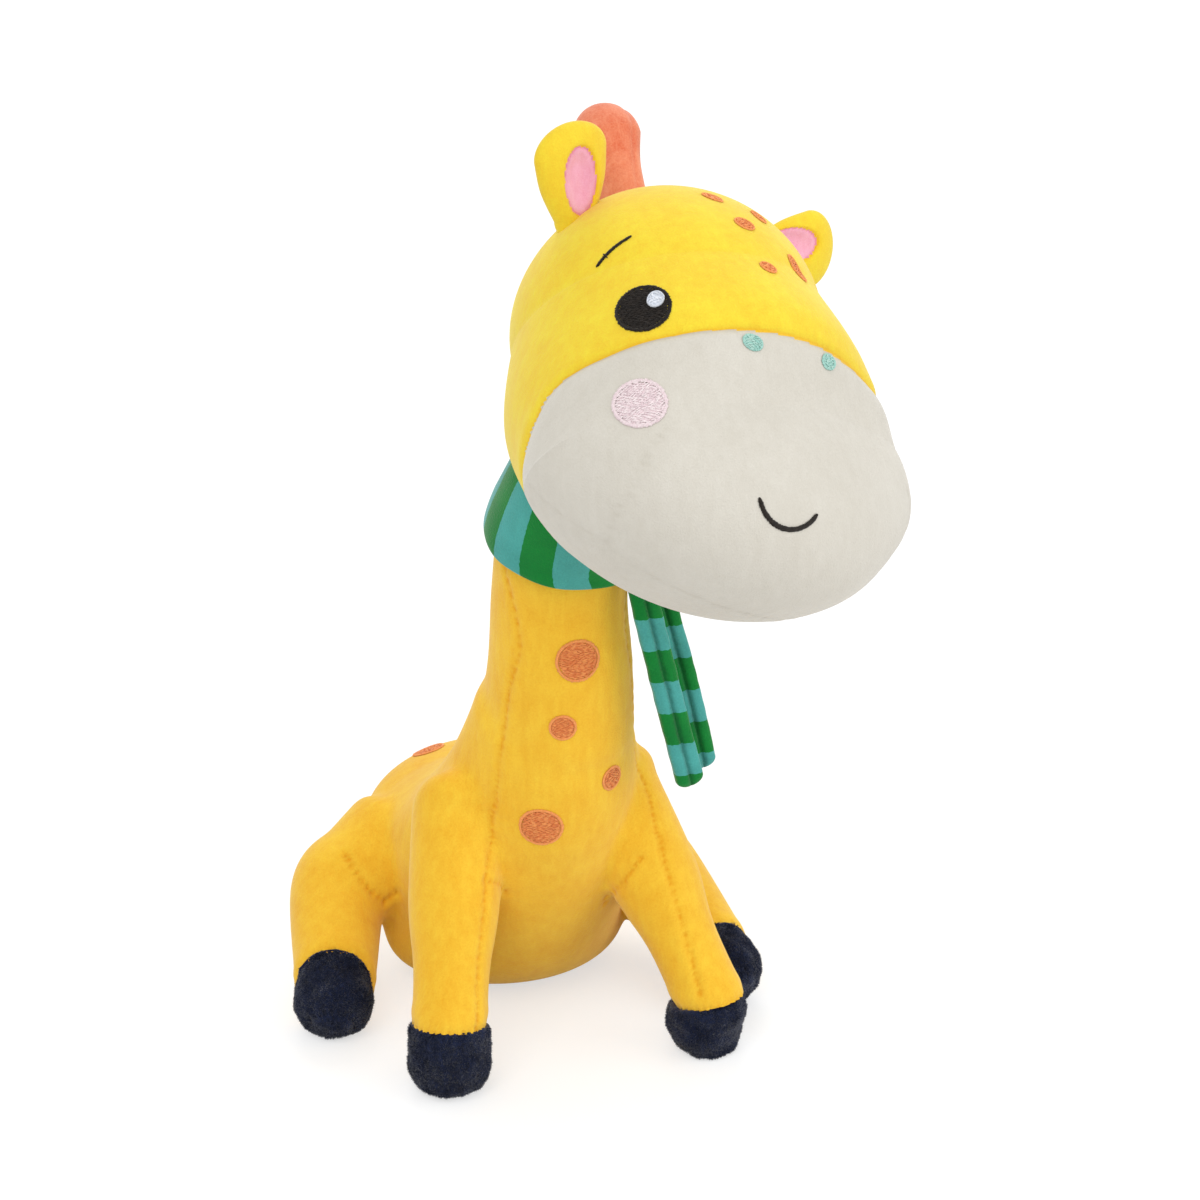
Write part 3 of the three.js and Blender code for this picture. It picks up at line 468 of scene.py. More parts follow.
def stuffed_form(
    rows: Sequence[Sequence[float]],
    sides: int,
    steps: int,
    across: np.ndarray = LEFTWARD,
    section: Callable[[np.ndarray], np.ndarray] | None = None,
) -> Form:
    """A closed stuffed form round a path.

    Args:
        rows: x, y, z, half width, half depth on one side and on the other; the first and last rows are the poles.
        sides: points round each ring.
        steps: rings from one row to the next.
        across: the direction that the width lies along.
        section: how far out each angle lies, 1 being the plain oval.

    Returns:
        The form.
    """
    table = np.array(rows, float)
    rings = smooth_rows(table[1:-1], np.arange((len(table) - 3) * steps + 1) / steps)
    ahead = np.vstack([rings[1:], rings[-1:]]) - np.vstack([rings[:1], rings[:-1]])
    along = unit(ahead[:, :3])
    turn = (np.arange(1, steps + 2) / (steps + 2) * (math.pi / 2))[:, None]

    def cap(pole: np.ndarray, edge: np.ndarray) -> np.ndarray:
        """Rings of a quarter of an ellipse from a pole to an edge."""
        return np.hstack([edge[:3] + (pole[:3] - edge[:3]) * np.cos(turn), edge[3:] * np.sin(turn)])

    first, final = cap(table[0], rings[0]), cap(table[-1], rings[-1])[::-1]
    rings = np.vstack([first, rings, final])
    along = np.vstack([np.repeat(along[:1], len(first), 0), along, np.repeat(along[-1:], len(final), 0)])
    wide = unit(across - along * (along @ across)[:, None])
    deep = np.cross(wide, along)
    angle = np.arange(sides) / sides * 2 * math.pi
    out = section(angle) if section else np.ones(sides)
    half = np.where(np.sin(angle) > 0, rings[:, 4:5], rings[:, 5:6])
    places = (
        rings[:, None, :3]
        + wide[:, None] * (rings[:, 3:4] * np.cos(angle) * out)[..., None]
        + deep[:, None] * (half * np.sin(angle) * out)[..., None]
    )
    points = np.vstack([table[:1, :3], places.reshape(-1, 3), table[-1:, :3]])
    count, end = len(rings), len(points) - 1

    def at(i: int, j: int) -> int:
        """A point's number."""
        return 1 + i * sides + j % sides

    faces: Faces = []
    for j in range(sides):
        faces.append((0, at(0, j), at(0, j + 1)))
        faces += [(at(i, j), at(i + 1, j), at(i + 1, j + 1), at(i, j + 1)) for i in range(count - 1)]
        faces.append((end, at(count - 1, j + 1), at(count - 1, j)))
    return Form(points, faces)


def round_row(place: Sequence[float], half: float) -> list[float]:
    """A row of a form's table with a round section."""
    return [*place, half, half, half]


def one_skin(forms: Iterable[Form], toy: ToyFrame, voxel_mm: float, rounds: int) -> Form:
    """Joins stuffed forms under one skin and eases the creases between them.

    Args:
        forms: the forms.
        toy: the toy's frame.
        voxel_mm: the new skin's face size.
        rounds: how often it is smoothed.

    Returns:
        The skin.
    """
    bpy.ops.object.select_all(action="DESELECT")
    parts = [form.piece(toy, "part") for form in forms]
    for part in parts:
        part.select_set(True)
    bpy.context.view_layer.objects.active = parts[0]
    bpy.ops.object.join()
    whole = bpy.context.view_layer.objects.active
    for kind, settings in (
        ("REMESH", {"mode": "VOXEL", "voxel_size": voxel_mm * MM}),
        ("SMOOTH", {"factor": 0.5, "iterations": rounds}),
    ):
        bpy.ops.object.modifier_add(type=kind)
        modifier = whole.modifiers[-1]
        for key, value in settings.items():
            setattr(modifier, key, value)
        bpy.ops.object.modifier_apply(modifier=modifier.name)
    mesh = whole.data
    flat = np.empty(len(mesh.vertices) * 3)
    mesh.vertices.foreach_get("co", flat)
    skin = Form(toy.millimetres(flat.reshape(-1, 3)), [tuple(p.vertices) for p in mesh.polygons])
    bpy.data.objects.remove(whole)
    bpy.data.meshes.remove(mesh)
    return skin


# ---- Seams


@dataclass
class Seam:
    """A sewn line on a form: it draws the cloth in, and the cloth puckers beside it."""

    places: Sequence[Sequence[float]]
    depth: float = 0.5
    width: float = 1.0
    closed: bool = False
    pucker: float = 0.12
    shade: float = 0.95
    stitch: float = 2.2
    spacing: float = 0.7
    mark_width: float = 0.7
    dimple: float = 0.4
    shoulder: float = 0.22
    pucker_reach: float = 4.5
    reach: float = 12

    def route(self, form: Form) -> np.ndarray:
        """Lays the seam on a form.

        Args:
            form: the form.

        Returns:
            The seam's points, close together.
        """
        table = np.array(self.places, float)
        if self.closed:
            table = np.vstack([table, table[:1]])
        length = np.linalg.norm(np.diff(table, axis=0), axis=1).sum()
        at = np.linspace(0, len(table) - 1, max(int(length / self.spacing), 8))
        tree = form.tree()
        return np.array([tree.find_nearest(Vector(p))[0] for p in smooth_rows(table, at)])

    def sew(self, form: Form, normals: np.ndarray, mark: np.ndarray) -> None:
        """Draws the form in along the seam.

        Args:
            form: the form, whose points move.
            normals: its points' directions.
            mark: each point's nearness to a seam, raised here.
        """
        route = self.route(form)
        low, high = route.min(0) - self.reach, route.max(0) + self.reach
        near = np.flatnonzero(((form.points > low) & (form.points < high)).all(1))
        if not len(near):
            return
        gap = np.full(len(near), 1e9)
        nearest = np.zeros(len(near), int)
        for start in range(0, len(near), BATCH):
            some = slice(start, start + BATCH)
            apart = np.linalg.norm(form.points[near[some], None] - route[None], axis=2)
            nearest[some] = apart.argmin(1)
            gap[some] = apart.min(1)
        way = nearest * self.spacing
        dimple = 1 - self.dimple + self.dimple * np.cos(2 * math.pi * way / self.stitch)
        valley = dimple * np.exp(-((gap / self.width) ** 2))
        shoulder = self.shoulder * np.exp(-(((gap - 2.6 * self.width) / (1.3 * self.width)) ** 2))
        ripple = self.pucker * np.cos(way * 1.15 + np.sin(way * 0.31) * 2) * np.exp(-gap / self.pucker_reach)
        move = -self.depth * (valley - shoulder) + ripple * (1 - valley)
        form.points[near] += normals[near] * move[:, None]
        mark[near] = np.maximum(mark[near], self.shade * dimple * np.exp(-((gap / self.mark_width) ** 2)))


@dataclass
class Skin:
    """A form's points, directions and seam marks, from which pieces are cut that still shade as one."""

    form: Form
    toy: ToyFrame
    mark: np.ndarray = field(init=False)
    normals: np.ndarray = field(init=False)

    def __post_init__(self) -> None:
        """Measures the form."""
        self.mark = np.zeros(len(self.form.points))
        self.normals = self.form.normals()

    def sew(self, seams: Iterable[Seam]) -> None:
        """Sews seams, in turn, and measures the form again.

        Args:
            seams: the seams.
        """
        for seam in seams:
            seam.sew(self.form, self.normals, self.mark)
        self.normals = self.form.normals()

    def middles(self) -> np.ndarray:
        """The middle of each face."""
        return np.array([self.form.points[list(face)].mean(0) for face in self.form.faces])

    def cut(self, name: str, keep: np.ndarray) -> bpy.types.Object:
        """Makes a piece of some of the faces.

        Args:
            name: the piece's name.
            keep: which faces it has.

        Returns:
            The piece, with the whole skin's shading and its seam marks.
        """
        faces = [self.form.faces[i] for i in np.flatnonzero(keep)]
        used = np.unique(np.concatenate([np.array(face) for face in faces]))
        number = np.zeros(len(self.form.points), int)
        number[used] = np.arange(len(used))
        part = Form(self.form.points[used], [tuple(number[list(face)].tolist()) for face in faces])
        piece = part.piece(self.toy, name)
        piece.data.attributes.new("seam", "FLOAT", "POINT").data.foreach_set("value", self.mark[used])
        piece.data.normals_split_custom_set_from_vertices(self.normals[used].tolist())
        return piece


def beside_line(points: np.ndarray, start: np.ndarray, end: np.ndarray) -> tuple[np.ndarray, np.ndarray]:
    """How far along a line points lie, as a share of it, and how far from it.

    Args:
        points: the points.
        start, end: the line's ends.

    Returns:
        The shares and the distances.
    """
    way = (points - start) @ (end - start) / ((end - start) @ (end - start))
    return way, np.linalg.norm(points - start - way[:, None] * (end - start), axis=1)


# ---- Body


@dataclass
class Limb:
    """One leg: the rows of its cloth, and where it starts and ends to bend."""

    name: str
    body: str
    rows: list[list[float]]
    bend_from: np.ndarray
    bend_to: np.ndarray
    foot: np.ndarray
    outward: np.ndarray
    up_leg: np.ndarray
    seam_place: np.ndarray
    seam_half: float
    reach: float = 18
    reach_from: float = 0.3
    far: float = 50

    def past_seam(self, points: np.ndarray) -> np.ndarray:
        """How far up the leg from the hoof's seam points lie; points of other pieces count as far up.

        Args:
            points: the points.

        Returns:
            A height for each point, below 0 on the hoof.
        """
        way, off = beside_line(points, self.bend_from, self.seam_place)
        level = (points - self.seam_place) @ self.up_leg
        return np.where((off < self.reach) & (way > self.reach_from), level, self.far)

    def hoof_seam(self) -> Seam:
        """The seam where the leg meets its hoof.

        Returns:
            A ring round the leg's end.
        """
        wide = unit(np.cross(self.up_leg, np.array([0.0, 1.0, 0.0])))
        deep = np.cross(self.up_leg, wide)
        turns = np.linspace(0, 2 * math.pi, 20, endpoint=False)
        along = unit(self.seam_place - self.bend_from)
        ring = []
        for t in turns:
            ray = wide * math.cos(t) + deep * math.sin(t)
            ring.append(self.seam_place + ray * self.seam_half / np.linalg.norm(ray - (ray @ along) * along))
        return Seam(ring, depth=1.0, width=1.6, closed=True, pucker=0.12, shade=0.5)


@dataclass
class Body:
    """Trunk, neck and legs under one cloth skin, cut where the legs bend."""

    toy: ToyFrame
    dresser: Dresser
    width: float = 80
    length: float = 100
    height: float = 120
    neck_width: float = 40
    neck_back: float = 20
    neck_top: float = 152
    neck_reach: float = 44
    head_aside: float = 25.5
    head_ahead: float = 16
    seat_width: float = 42
    seat_share: float = 0.8
    spread: float = 12
    spread_level: float = 4
    spread_height: float = 14
    spread_back: float = 70
    spread_ahead_share: float = 0.45
    face_mm: float = 0.95
    smooth_rounds: int = 40
    cloth_mm: float = 0.35
    floor_gap: float = 0.4
    settle_depth: float = 1.2
    limb_reach: float = 21
    seat_height: float = 12
    foreleg_width: float = 26
    shoulder: tuple[float, float, float] = (24, 30, 73)
    shoulder_right: float = 3
    fore_foot: tuple[float, float, float] = (39, 0, 0)
    fore_hoof_width: float = 23.6
    fore_hoof_height: float = 20
    hoof_press: float = 1.5
    fore_seam_down: dict[str, float] = field(default_factory=lambda: {"right": 0.0, "left": 4.5})
    fore_end_share: dict[str, float] = field(default_factory=lambda: {"right": 0.92, "left": 0.86})
    foreleg_rows: tuple[tuple[float, float], ...] = ((0, 0), (0.45, 0), (0.75, 1), (1.1, 1))
    foreleg_bend: tuple[float, float] = (0.42, 0.72)
    foreleg_past: float = 16
    hip: tuple[float, float, float] = (31, 80, 38.8)
    knees: dict[str, tuple[float, float, float]] = field(
        default_factory=lambda: {"right": (51.5, 73, 29), "left": (45.5, 62, 24)}
    )
    hind_feet: dict[str, tuple[float, float, float]] = field(
        default_factory=lambda: {"right": (61.7, 43, 11.3), "left": (53, 25, 11.3)}
    )
    thigh_rows: tuple[tuple[float, float], ...] = ((0, 0.49), (0.6, 0.435), (1, 0.4))
    ankle_rows: tuple[tuple[float, float], ...] = ((0, 0.54), (8, 0.51), (15, 0.5), (24, 0))
    hind_bend_share: float = 0.35
    hind_ankle_share: float = 0.45
    hind_leg_width: float = 36
    hind_hoof_width: float = 22.6
    hind_hoof_length: float = 21
    trunk_rows: tuple[tuple[float, ...], ...] = (
        (1.15, 0.32, 0, 0, 0),
        (0.8, 0.34, 0.5, 0.384, 0.19),
        (0.59, 0.43, 0.45, 0.355, 0.19),
        (0.36, 0.67, 0.36, 0.275, 0.15),
        (0.25, 0.86, 0.29, 0.21, 0.15),
        (0.22, 0.985, 0, 0, 0),
    )
    neck_rows: tuple[tuple[float, ...], ...] = (
        (0, -0.15, 0.58, 0, 0),
        (0.04, -0.08, 0.66, 0, 0.55),
        (0.05, -0.02, 0.8, 0, 0.51),
        (0.03, 0, 0.95, 0, 0.475),
        (0.08, 0.12, 1, 0.3, 0.475),
        (0.3, 0.4, 1, 0.72, 0.475),
        (0.42, 0.55, 1, 1, 0),
    )
    front_seams: tuple[tuple[tuple[float, float, float], ...], ...] = (
        (
            (-17.2, 14.2, 157.8), (-14.5, 8.8, 135.1), (-16.8, 11.2, 118.8), (-17.7, 12.3, 109.0),
            (-18.5, 12.7, 99.5), (-19.8, 13.3, 86.6), (-20.6, 15.9, 72.7), (-24.6, 9.0, 60.5),
            (-28.3, 1.4, 45.5), (-31.5, -5.7, 30.1), (-33.5, -9.0, 22.0),
        ),
        (
            (19.5, 14.2, 157.8), (17.5, 8.8, 135.1), (18.8, 11.2, 118.8), (20.7, 13.3, 105.0),
            (24.5, 16.7, 92.5), (27.8, 17.3, 80.6), (27.6, 13.9, 68.7), (28.6, 9.0, 58.5),
            (31.3, 1.4, 45.5), (33.5, -5.7, 30.1), (34.5, -9.0, 22.0),
        ),
        ((22.1, 8.6, 60.4), (19.5, 8.9, 56.7), (17.6, 10, 53), (16, 14.8, 47.1), (16, 22.8, 39.5)),
        ((-24.6, 9.0, 60.5), (-19.3, 13.5, 55.8), (-16.1, 17.8, 50.5)),
    )
    hip_creases: tuple[tuple[tuple[float, float, float], ...], ...] = (
        ((-50.7, 66.9, 44.3), (-48.8, 63.1, 40.2), (-45.4, 60.2, 35), (-41.3, 61.6, 30.3)),
        ((-41.3, 61.6, 30.3), (-38.5, 62, 32), (-35.4, 62.3, 33.3)),
    )

    def trunk_form(self) -> Form:
        """The trunk's stuffed form, which spreads where it sits.

        Returns:
            The form.
        """
        rows = [
            (0, back * self.length, up * self.height, wide * self.width, belly * self.height, spine * self.height)
            for back, up, wide, belly, spine in self.trunk_rows
        ]
        form = stuffed_form(rows, 96, 16)
        local = form.points[:, :2] - np.array([0, self.spread_back])
        low = self.spread * np.exp(-(((form.points[:, 2] - self.spread_level) / self.spread_height) ** 2))
        outward = local / np.linalg.norm(local, axis=1, keepdims=True).clip(8)
        form.points[:, :2] += outward * np.array([1, self.spread_ahead_share]) * low[:, None]
        return form

    def neck_table(self) -> np.ndarray:
        """The rows of the neck's form.

        Returns:
            The table.
        """
        return np.array([
            (
                aside * self.head_aside,
                self.neck_back - ahead * (self.neck_back + self.head_ahead),
                up * self.neck_top + past * self.neck_reach,
                *[half * self.neck_width] * 3,
            )
            for aside, ahead, up, past, half in self.neck_rows
        ])

    def foreleg(self, side: str) -> Limb:
        """The foreleg on one side.

        Args:
            side: right or left.

        Returns:
            The leg.
        """
        flip = np.array([SIDES[side], 1, 1])
        shoulder = np.array(self.shoulder) * flip - LEFTWARD * self.shoulder_right
        foot = np.array(self.fore_foot) * flip
        ankle = foot + UP * self.fore_hoof_height
        down = unit(ankle - shoulder)
        seam_place = ankle + down * self.fore_seam_down[side]
        half, hoof = self.foreleg_width / 2, self.fore_hoof_width / 2 * self.fore_end_share[side]
        rows = [round_row(shoulder + UP * half, 0)]
        for way, over in self.foreleg_rows:
            rows.append(round_row(shoulder + (ankle - shoulder) * way, half + (hoof - half) * over))
        rows.append(round_row(ankle + down * self.foreleg_past, 0))
        square = unit(-UP + (down + UP) * 0.5)
        bend = [shoulder + (ankle - shoulder) * share for share in self.foreleg_bend]
        return Limb("foreleg_" + side, "foreleg_" + side, rows, *bend, foot, -UP, -square, seam_place, hoof)

    def hind_leg(self, side: str) -> Limb:
        """The hind leg on one side.

        Args:
            side: right or left.

        Returns:
            The leg.
        """
        flip = np.array([SIDES[side], 1, 1])
        hip, knee = np.array(self.hip) * flip, np.array(self.knees[side]) * flip
        foot = np.array(self.hind_feet[side]) * flip
        toward = unit(foot - knee)
        ankle = foot - toward * self.hind_ankle_share * self.hind_hoof_length
        width, hoof = self.hind_leg_width, self.hind_hoof_width
        rows = [round_row(hip - LEFTWARD * SIDES[side] * width / 2, 0)]
        rows += [round_row(hip + (knee - hip) * way, width * half) for way, half in self.thigh_rows]
        rows += [round_row(ankle + toward * past, hoof * half) for past, half in self.ankle_rows]
        seam_past, seam_half = self.ankle_rows[1]
        level = unit(toward * np.array([1, 1, 0.0]))
        return Limb(
            "hind_leg_" + side, "hind_leg_" + side, rows, knee + (ankle - knee) * self.hind_bend_share,
            ankle + toward * 0.5, foot, toward, -level, ankle + toward * seam_past, hoof * seam_half,
        )

    def limbs(self) -> list[Limb]:
        """All four legs."""
        return [make(side) for make in (self.foreleg, self.hind_leg) for side in SIDES]

    def build(self) -> tuple[Skin, list[Limb]]:
        """Makes the skin and its pieces.

        Returns:
            The skin, for what lies on it, and the legs, for their hooves.
        """
        limbs = self.limbs()
        forms = [self.trunk_form(), stuffed_form(self.neck_table(), 64, 12)]
        for limb in limbs:
            across = LEFTWARD if limb.name.startswith("fore") else UP
            forms.append(stuffed_form(limb.rows, 48, 10, across))
        for form in forms:
            form.points += form.normals() * self.cloth_mm
        whole = one_skin(forms, self.toy, self.face_mm, self.smooth_rounds)
        for limb in limbs:
            whole = split_at_level(whole, limb.past_seam)
        skin = Skin(whole, self.toy)
        skin.sew([Seam(places) for places in self.front_seams])
        skin.sew([Seam(places, depth=0.8, width=1.1) for places in self.hip_creases])
        skin.sew([limb.hoof_seam() for limb in limbs])
        self.settle(whole.points)
        skin.sew([self.seat_seam()])
        middles = skin.middles()
        left_over = np.ones(len(middles), bool)
        for limb in limbs:
            left_over &= limb.past_seam(middles) > 0
        for limb in limbs:
            way, off = beside_line(middles, limb.bend_from, limb.bend_to)
            keep = (way > -0.08) & (off < self.limb_reach) & left_over
            left_over &= ~keep
            # Each leg takes the darker copy of the yellow plush, with painted shade, as do the trunk and seat below.
            piece = skin.cut(limb.name + "_cloth", keep)
            self.dresser.dress(piece, Finish.BODY, [limb.name], 0.8)
            ends = [tuple(self.toy.metres(p).tolist()) for p in (limb.bend_from, limb.bend_to)]
            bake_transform(piece)
        aside = np.hypot(*(middles - self.seat_middle())[:, :2].T)
        panel = left_over & (aside < self.seat_width / 2) & (middles[:, 2] < self.seat_height)
        for name, keep, nodes in (
            ("seat_panel_cloth", panel, ["seat_panel"]),
            ("trunk_cloth", left_over & ~panel, ["trunk", "neck"]),
        ):
            piece = skin.cut(name, keep)
            self.dresser.dress(piece, Finish.BODY, nodes, 0.75)
            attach(piece, "trunk")
        return skin, limbs

    def settle(self, points: np.ndarray) -> None:
        """Presses the cloth flat where it rests on the floor.

        Args:
            points: the cloth's points, which move.
        """
        low, depth = self.floor_gap, self.settle_depth
        under = points[:, 2] < low + depth
        points[under, 2] = low + depth * np.exp((points[under, 2] - low - depth) / depth)

    def seat_middle(self) -> np.ndarray:
        """The middle of the seat panel, on the floor."""
        return np.array([0, self.seat_share * self.length, 0])

    def seat_seam(self) -> Seam:
        """The seam round the seat panel.

        Returns:
            A ring on the floor.
        """
        turns = np.linspace(0, 2 * math.pi, 24, endpoint=False)
        ring = [self.seat_middle() + self.seat_width / 2 * np.array([math.cos(t), math.sin(t), 0]) for t in turns]
        return Seam(ring, depth=0.0, width=1.2, closed=True, pucker=0.1)


# ---- Hooves


def scattered(form: Form, count: int, seed: int) -> tuple[np.ndarray, np.ndarray]:
    """Places spread evenly over a form.

    Args:
        form: the form.
        count: how many places.
        seed: the random draw's seed.

    Returns:
        The places and their directions.
    """
    draw = np.random.default_rng(seed)
    triangles = np.array([(f[0], f[i], f[i + 1]) for f in form.faces for i in range(1, len(f) - 1)])
    a, b, c = (form.points[triangles[:, k]] for k in range(3))
    cross = np.cross(b - a, c - a)
    area = np.linalg.norm(cross, axis=1)
    pick = draw.choice(len(area), count, p=area / area.sum())
    u, v = draw.random(count), draw.random(count)
    over = u + v > 1
    u[over], v[over] = 1 - u[over], 1 - v[over]
    places = a[pick] + (b - a)[pick] * u[:, None] + (c - a)[pick] * v[:, None]
    return places, unit(cross[pick])


def with_nap(form: Form, count: int, long: float, thick: float, seed: int) -> Form:
    """Adds leaning tufts of fibre to a form.

    Args:
        form: the form that they stand on.
        count: how many tufts.
        long: their mean length.
        thick: their width at the root.
        seed: the random draw's seed.

    Returns:
        The form and its tufts.
    """
    draw = np.random.default_rng(seed)
    places, out = scattered(form, count, seed + 1)
    curl, ruffle, fall = 1.5, 0.28, -0.45
    comb = np.array([[noise(Vector(p * 0.16 + k * 31)) for k in range(3)] for p in places]) * curl
    lean = comb + draw.normal(0, ruffle, (count, 3)) + UP * fall
    combed = unit(out + lean - out * (lean * out).sum(1)[:, None])
    tip = places + combed * (long * draw.uniform(0.6, 1.35, count))[:, None]
    wide = unit(np.cross(out, lean))
    deep = np.cross(out, wide)
    root = places - out * 0.3
    thirds = (0, 2.094, 4.189)
    corners = [root + (wide * math.cos(t) + deep * math.sin(t)) * thick / 2 for t in thirds]
    points = np.stack([*corners, tip], 1).reshape(-1, 3)
    start = len(form.points)
    sides = ((0, 1, 3), (1, 2, 3), (2, 0, 3), (2, 1, 0))
    faces = [tuple(start + 4 * i + k for k in face) for i in range(count) for face in sides]
    return Form(np.vstack([form.points, points]), form.faces + faces)


@dataclass
class Hooves:
    """Navy fleece hooves with their soles let in."""

    toy: ToyFrame
    dresser: Dresser
    limbs: list[Limb]
    body: Body
    sole_inset: float = 3
    sole_share: float = 0.55
    fore_full: float = 1.02
    hind_full: float = 0.93
    pile_mm: float = 0.25
    lump_mm: float = 0.45
    floor_gap: float = 0.35
    hoof_tufts: int = 14000
    sole_tufts: int = 2200
    tuft_long: float = 0.8
    tuft_thick: float = 0.36
    seed: int = 7

    def build(self) -> None:
        """Makes each leg's hoof and sole."""
        for limb in self.limbs:
            fore = limb.name.startswith("fore")
            width = 2 * limb.seam_half * (self.fore_full if fore else self.hind_full)
            form = self.fore_form(limb, width) if fore else self.hind_form(limb, width)
            self.flatten(form, limb)
            lumps = np.array([noise(Vector(p * 0.3)) + 0.5 * noise(Vector(p * 0.8)) for p in form.points])
            form.points += form.normals() * (self.pile_mm + self.lump_mm * lumps[:, None])
            form.points[:, 2] = np.maximum(form.points[:, 2], self.floor_gap)
            skin = Skin(form, self.toy)
            centre = limb.foot
            if not fore:
                centre = centre + limb.outward * self.sole_share * self.body.hind_hoof_length
            skin.sew([self.sole_seam(centre, limb.outward, width / 2 - self.sole_inset)])
            middles = skin.middles()
            way, off = beside_line(middles, centre, centre + limb.outward)
            sole = (off < width / 2 - self.sole_inset) & (way > -6)
            lid = (middles - limb.seam_place) @ limb.up_leg > -0.15
            kind = limb.name.replace("foreleg", "fore_hoof").replace("hind_leg", "hind_hoof")
            for name, keep, node, count in (
                (kind + "_fleece", ~sole, kind, self.hoof_tufts),
                (kind.replace("hoof", "sole") + "_fleece", sole, kind.replace("hoof", "sole"), self.sole_tufts),
            ):
                napped = Form(form.points, [form.faces[i] for i in np.flatnonzero(keep & ~lid)])
                tufted = with_nap(napped, count, self.tuft_long, self.tuft_thick, self.seed)
                tufted.faces += [form.faces[i] for i in np.flatnonzero(keep & lid)]
                piece = tufted.piece(self.toy, name)
                mark = np.zeros(len(tufted.points))
                mark[: len(skin.mark)] = skin.mark
                piece.data.attributes.new("seam", "FLOAT", "POINT").data.foreach_set("value", mark)
                self.trim_loose(piece)
                self.dresser.dress(piece, Finish.NAVY, [node], 0.8)
                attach(piece, limb.body)

    def fore_form(self, limb: Limb, width: float) -> Form:
        """A fore hoof's bulb.

        Args:
            limb: its leg.
            width: how wide it is.

        Returns:
            The form.
        """
        height = self.body.fore_hoof_height
        rows = [
            round_row(limb.seam_place + limb.up_leg * height / 2, 0),
            round_row(limb.seam_place, 0.5 * width),
            round_row(limb.foot + UP * 0.42 * height, 0.52 * width),
            round_row(limb.foot - UP * self.body.hoof_press, 0),
        ]
        return stuffed_form(rows, 72, 16)

    def hind_form(self, limb: Limb, width: float) -> Form:
        """A hind hoof's bulb.

        Args:
            limb: its leg.
            width: how wide it is.

        Returns:
            The form.
        """
        length = self.body.hind_hoof_length
        shares = ((-0.85, 0), (-0.4, 0.5), (0.1, 0.52), (0.58, 0))
        rows = [round_row(limb.foot + limb.outward * way * length, half * width) for way, half in shares]
        return stuffed_form(rows, 72, 16)

    def flatten(self, form: Form, limb: Limb) -> None:
        """Closes a bulb with a lid at the seam to the leg.

        Args:
            form: the bulb, whose points move.
            limb: its leg.
        """
        past = (form.points - limb.seam_place) @ limb.up_leg
        over = past > 0
        form.points[over] -= past[over, None] * limb.up_leg

    def sole_seam(self, centre: np.ndarray, outward: np.ndarray, radius: float) -> Seam:
        """The seam round a sole.

        Args:
            centre: the sole's middle.
            outward: the direction that it faces.
            radius: the seam's radius.

        Returns:
            The seam.
        """
        wide = unit(np.cross(outward, UP if abs(outward[2]) < 0.9 else LEFTWARD))
        deep = np.cross(outward, wide)
        turns = np.linspace(0, 2 * math.pi, 16, endpoint=False)
        ring = [centre + radius * (wide * math.cos(t) + deep * math.sin(t)) for t in turns]
        return Seam(ring, depth=0.8, width=1.0, closed=True, pucker=0.1)

    def trim_loose(self, piece: bpy.types.Object) -> None:
        """Removes points that no face uses.

        Args:
            piece: the piece that is cleaned.
        """
        bpy.ops.object.select_all(action="DESELECT")
        bpy.context.view_layer.objects.active = piece
        piece.select_set(True)
        bpy.ops.object.mode_set(mode="EDIT")
        bpy.ops.mesh.select_all(action="SELECT")
        bpy.ops.mesh.delete_loose()
        bpy.ops.object.mode_set(mode="OBJECT")
        piece.select_set(False)


# ---- Head


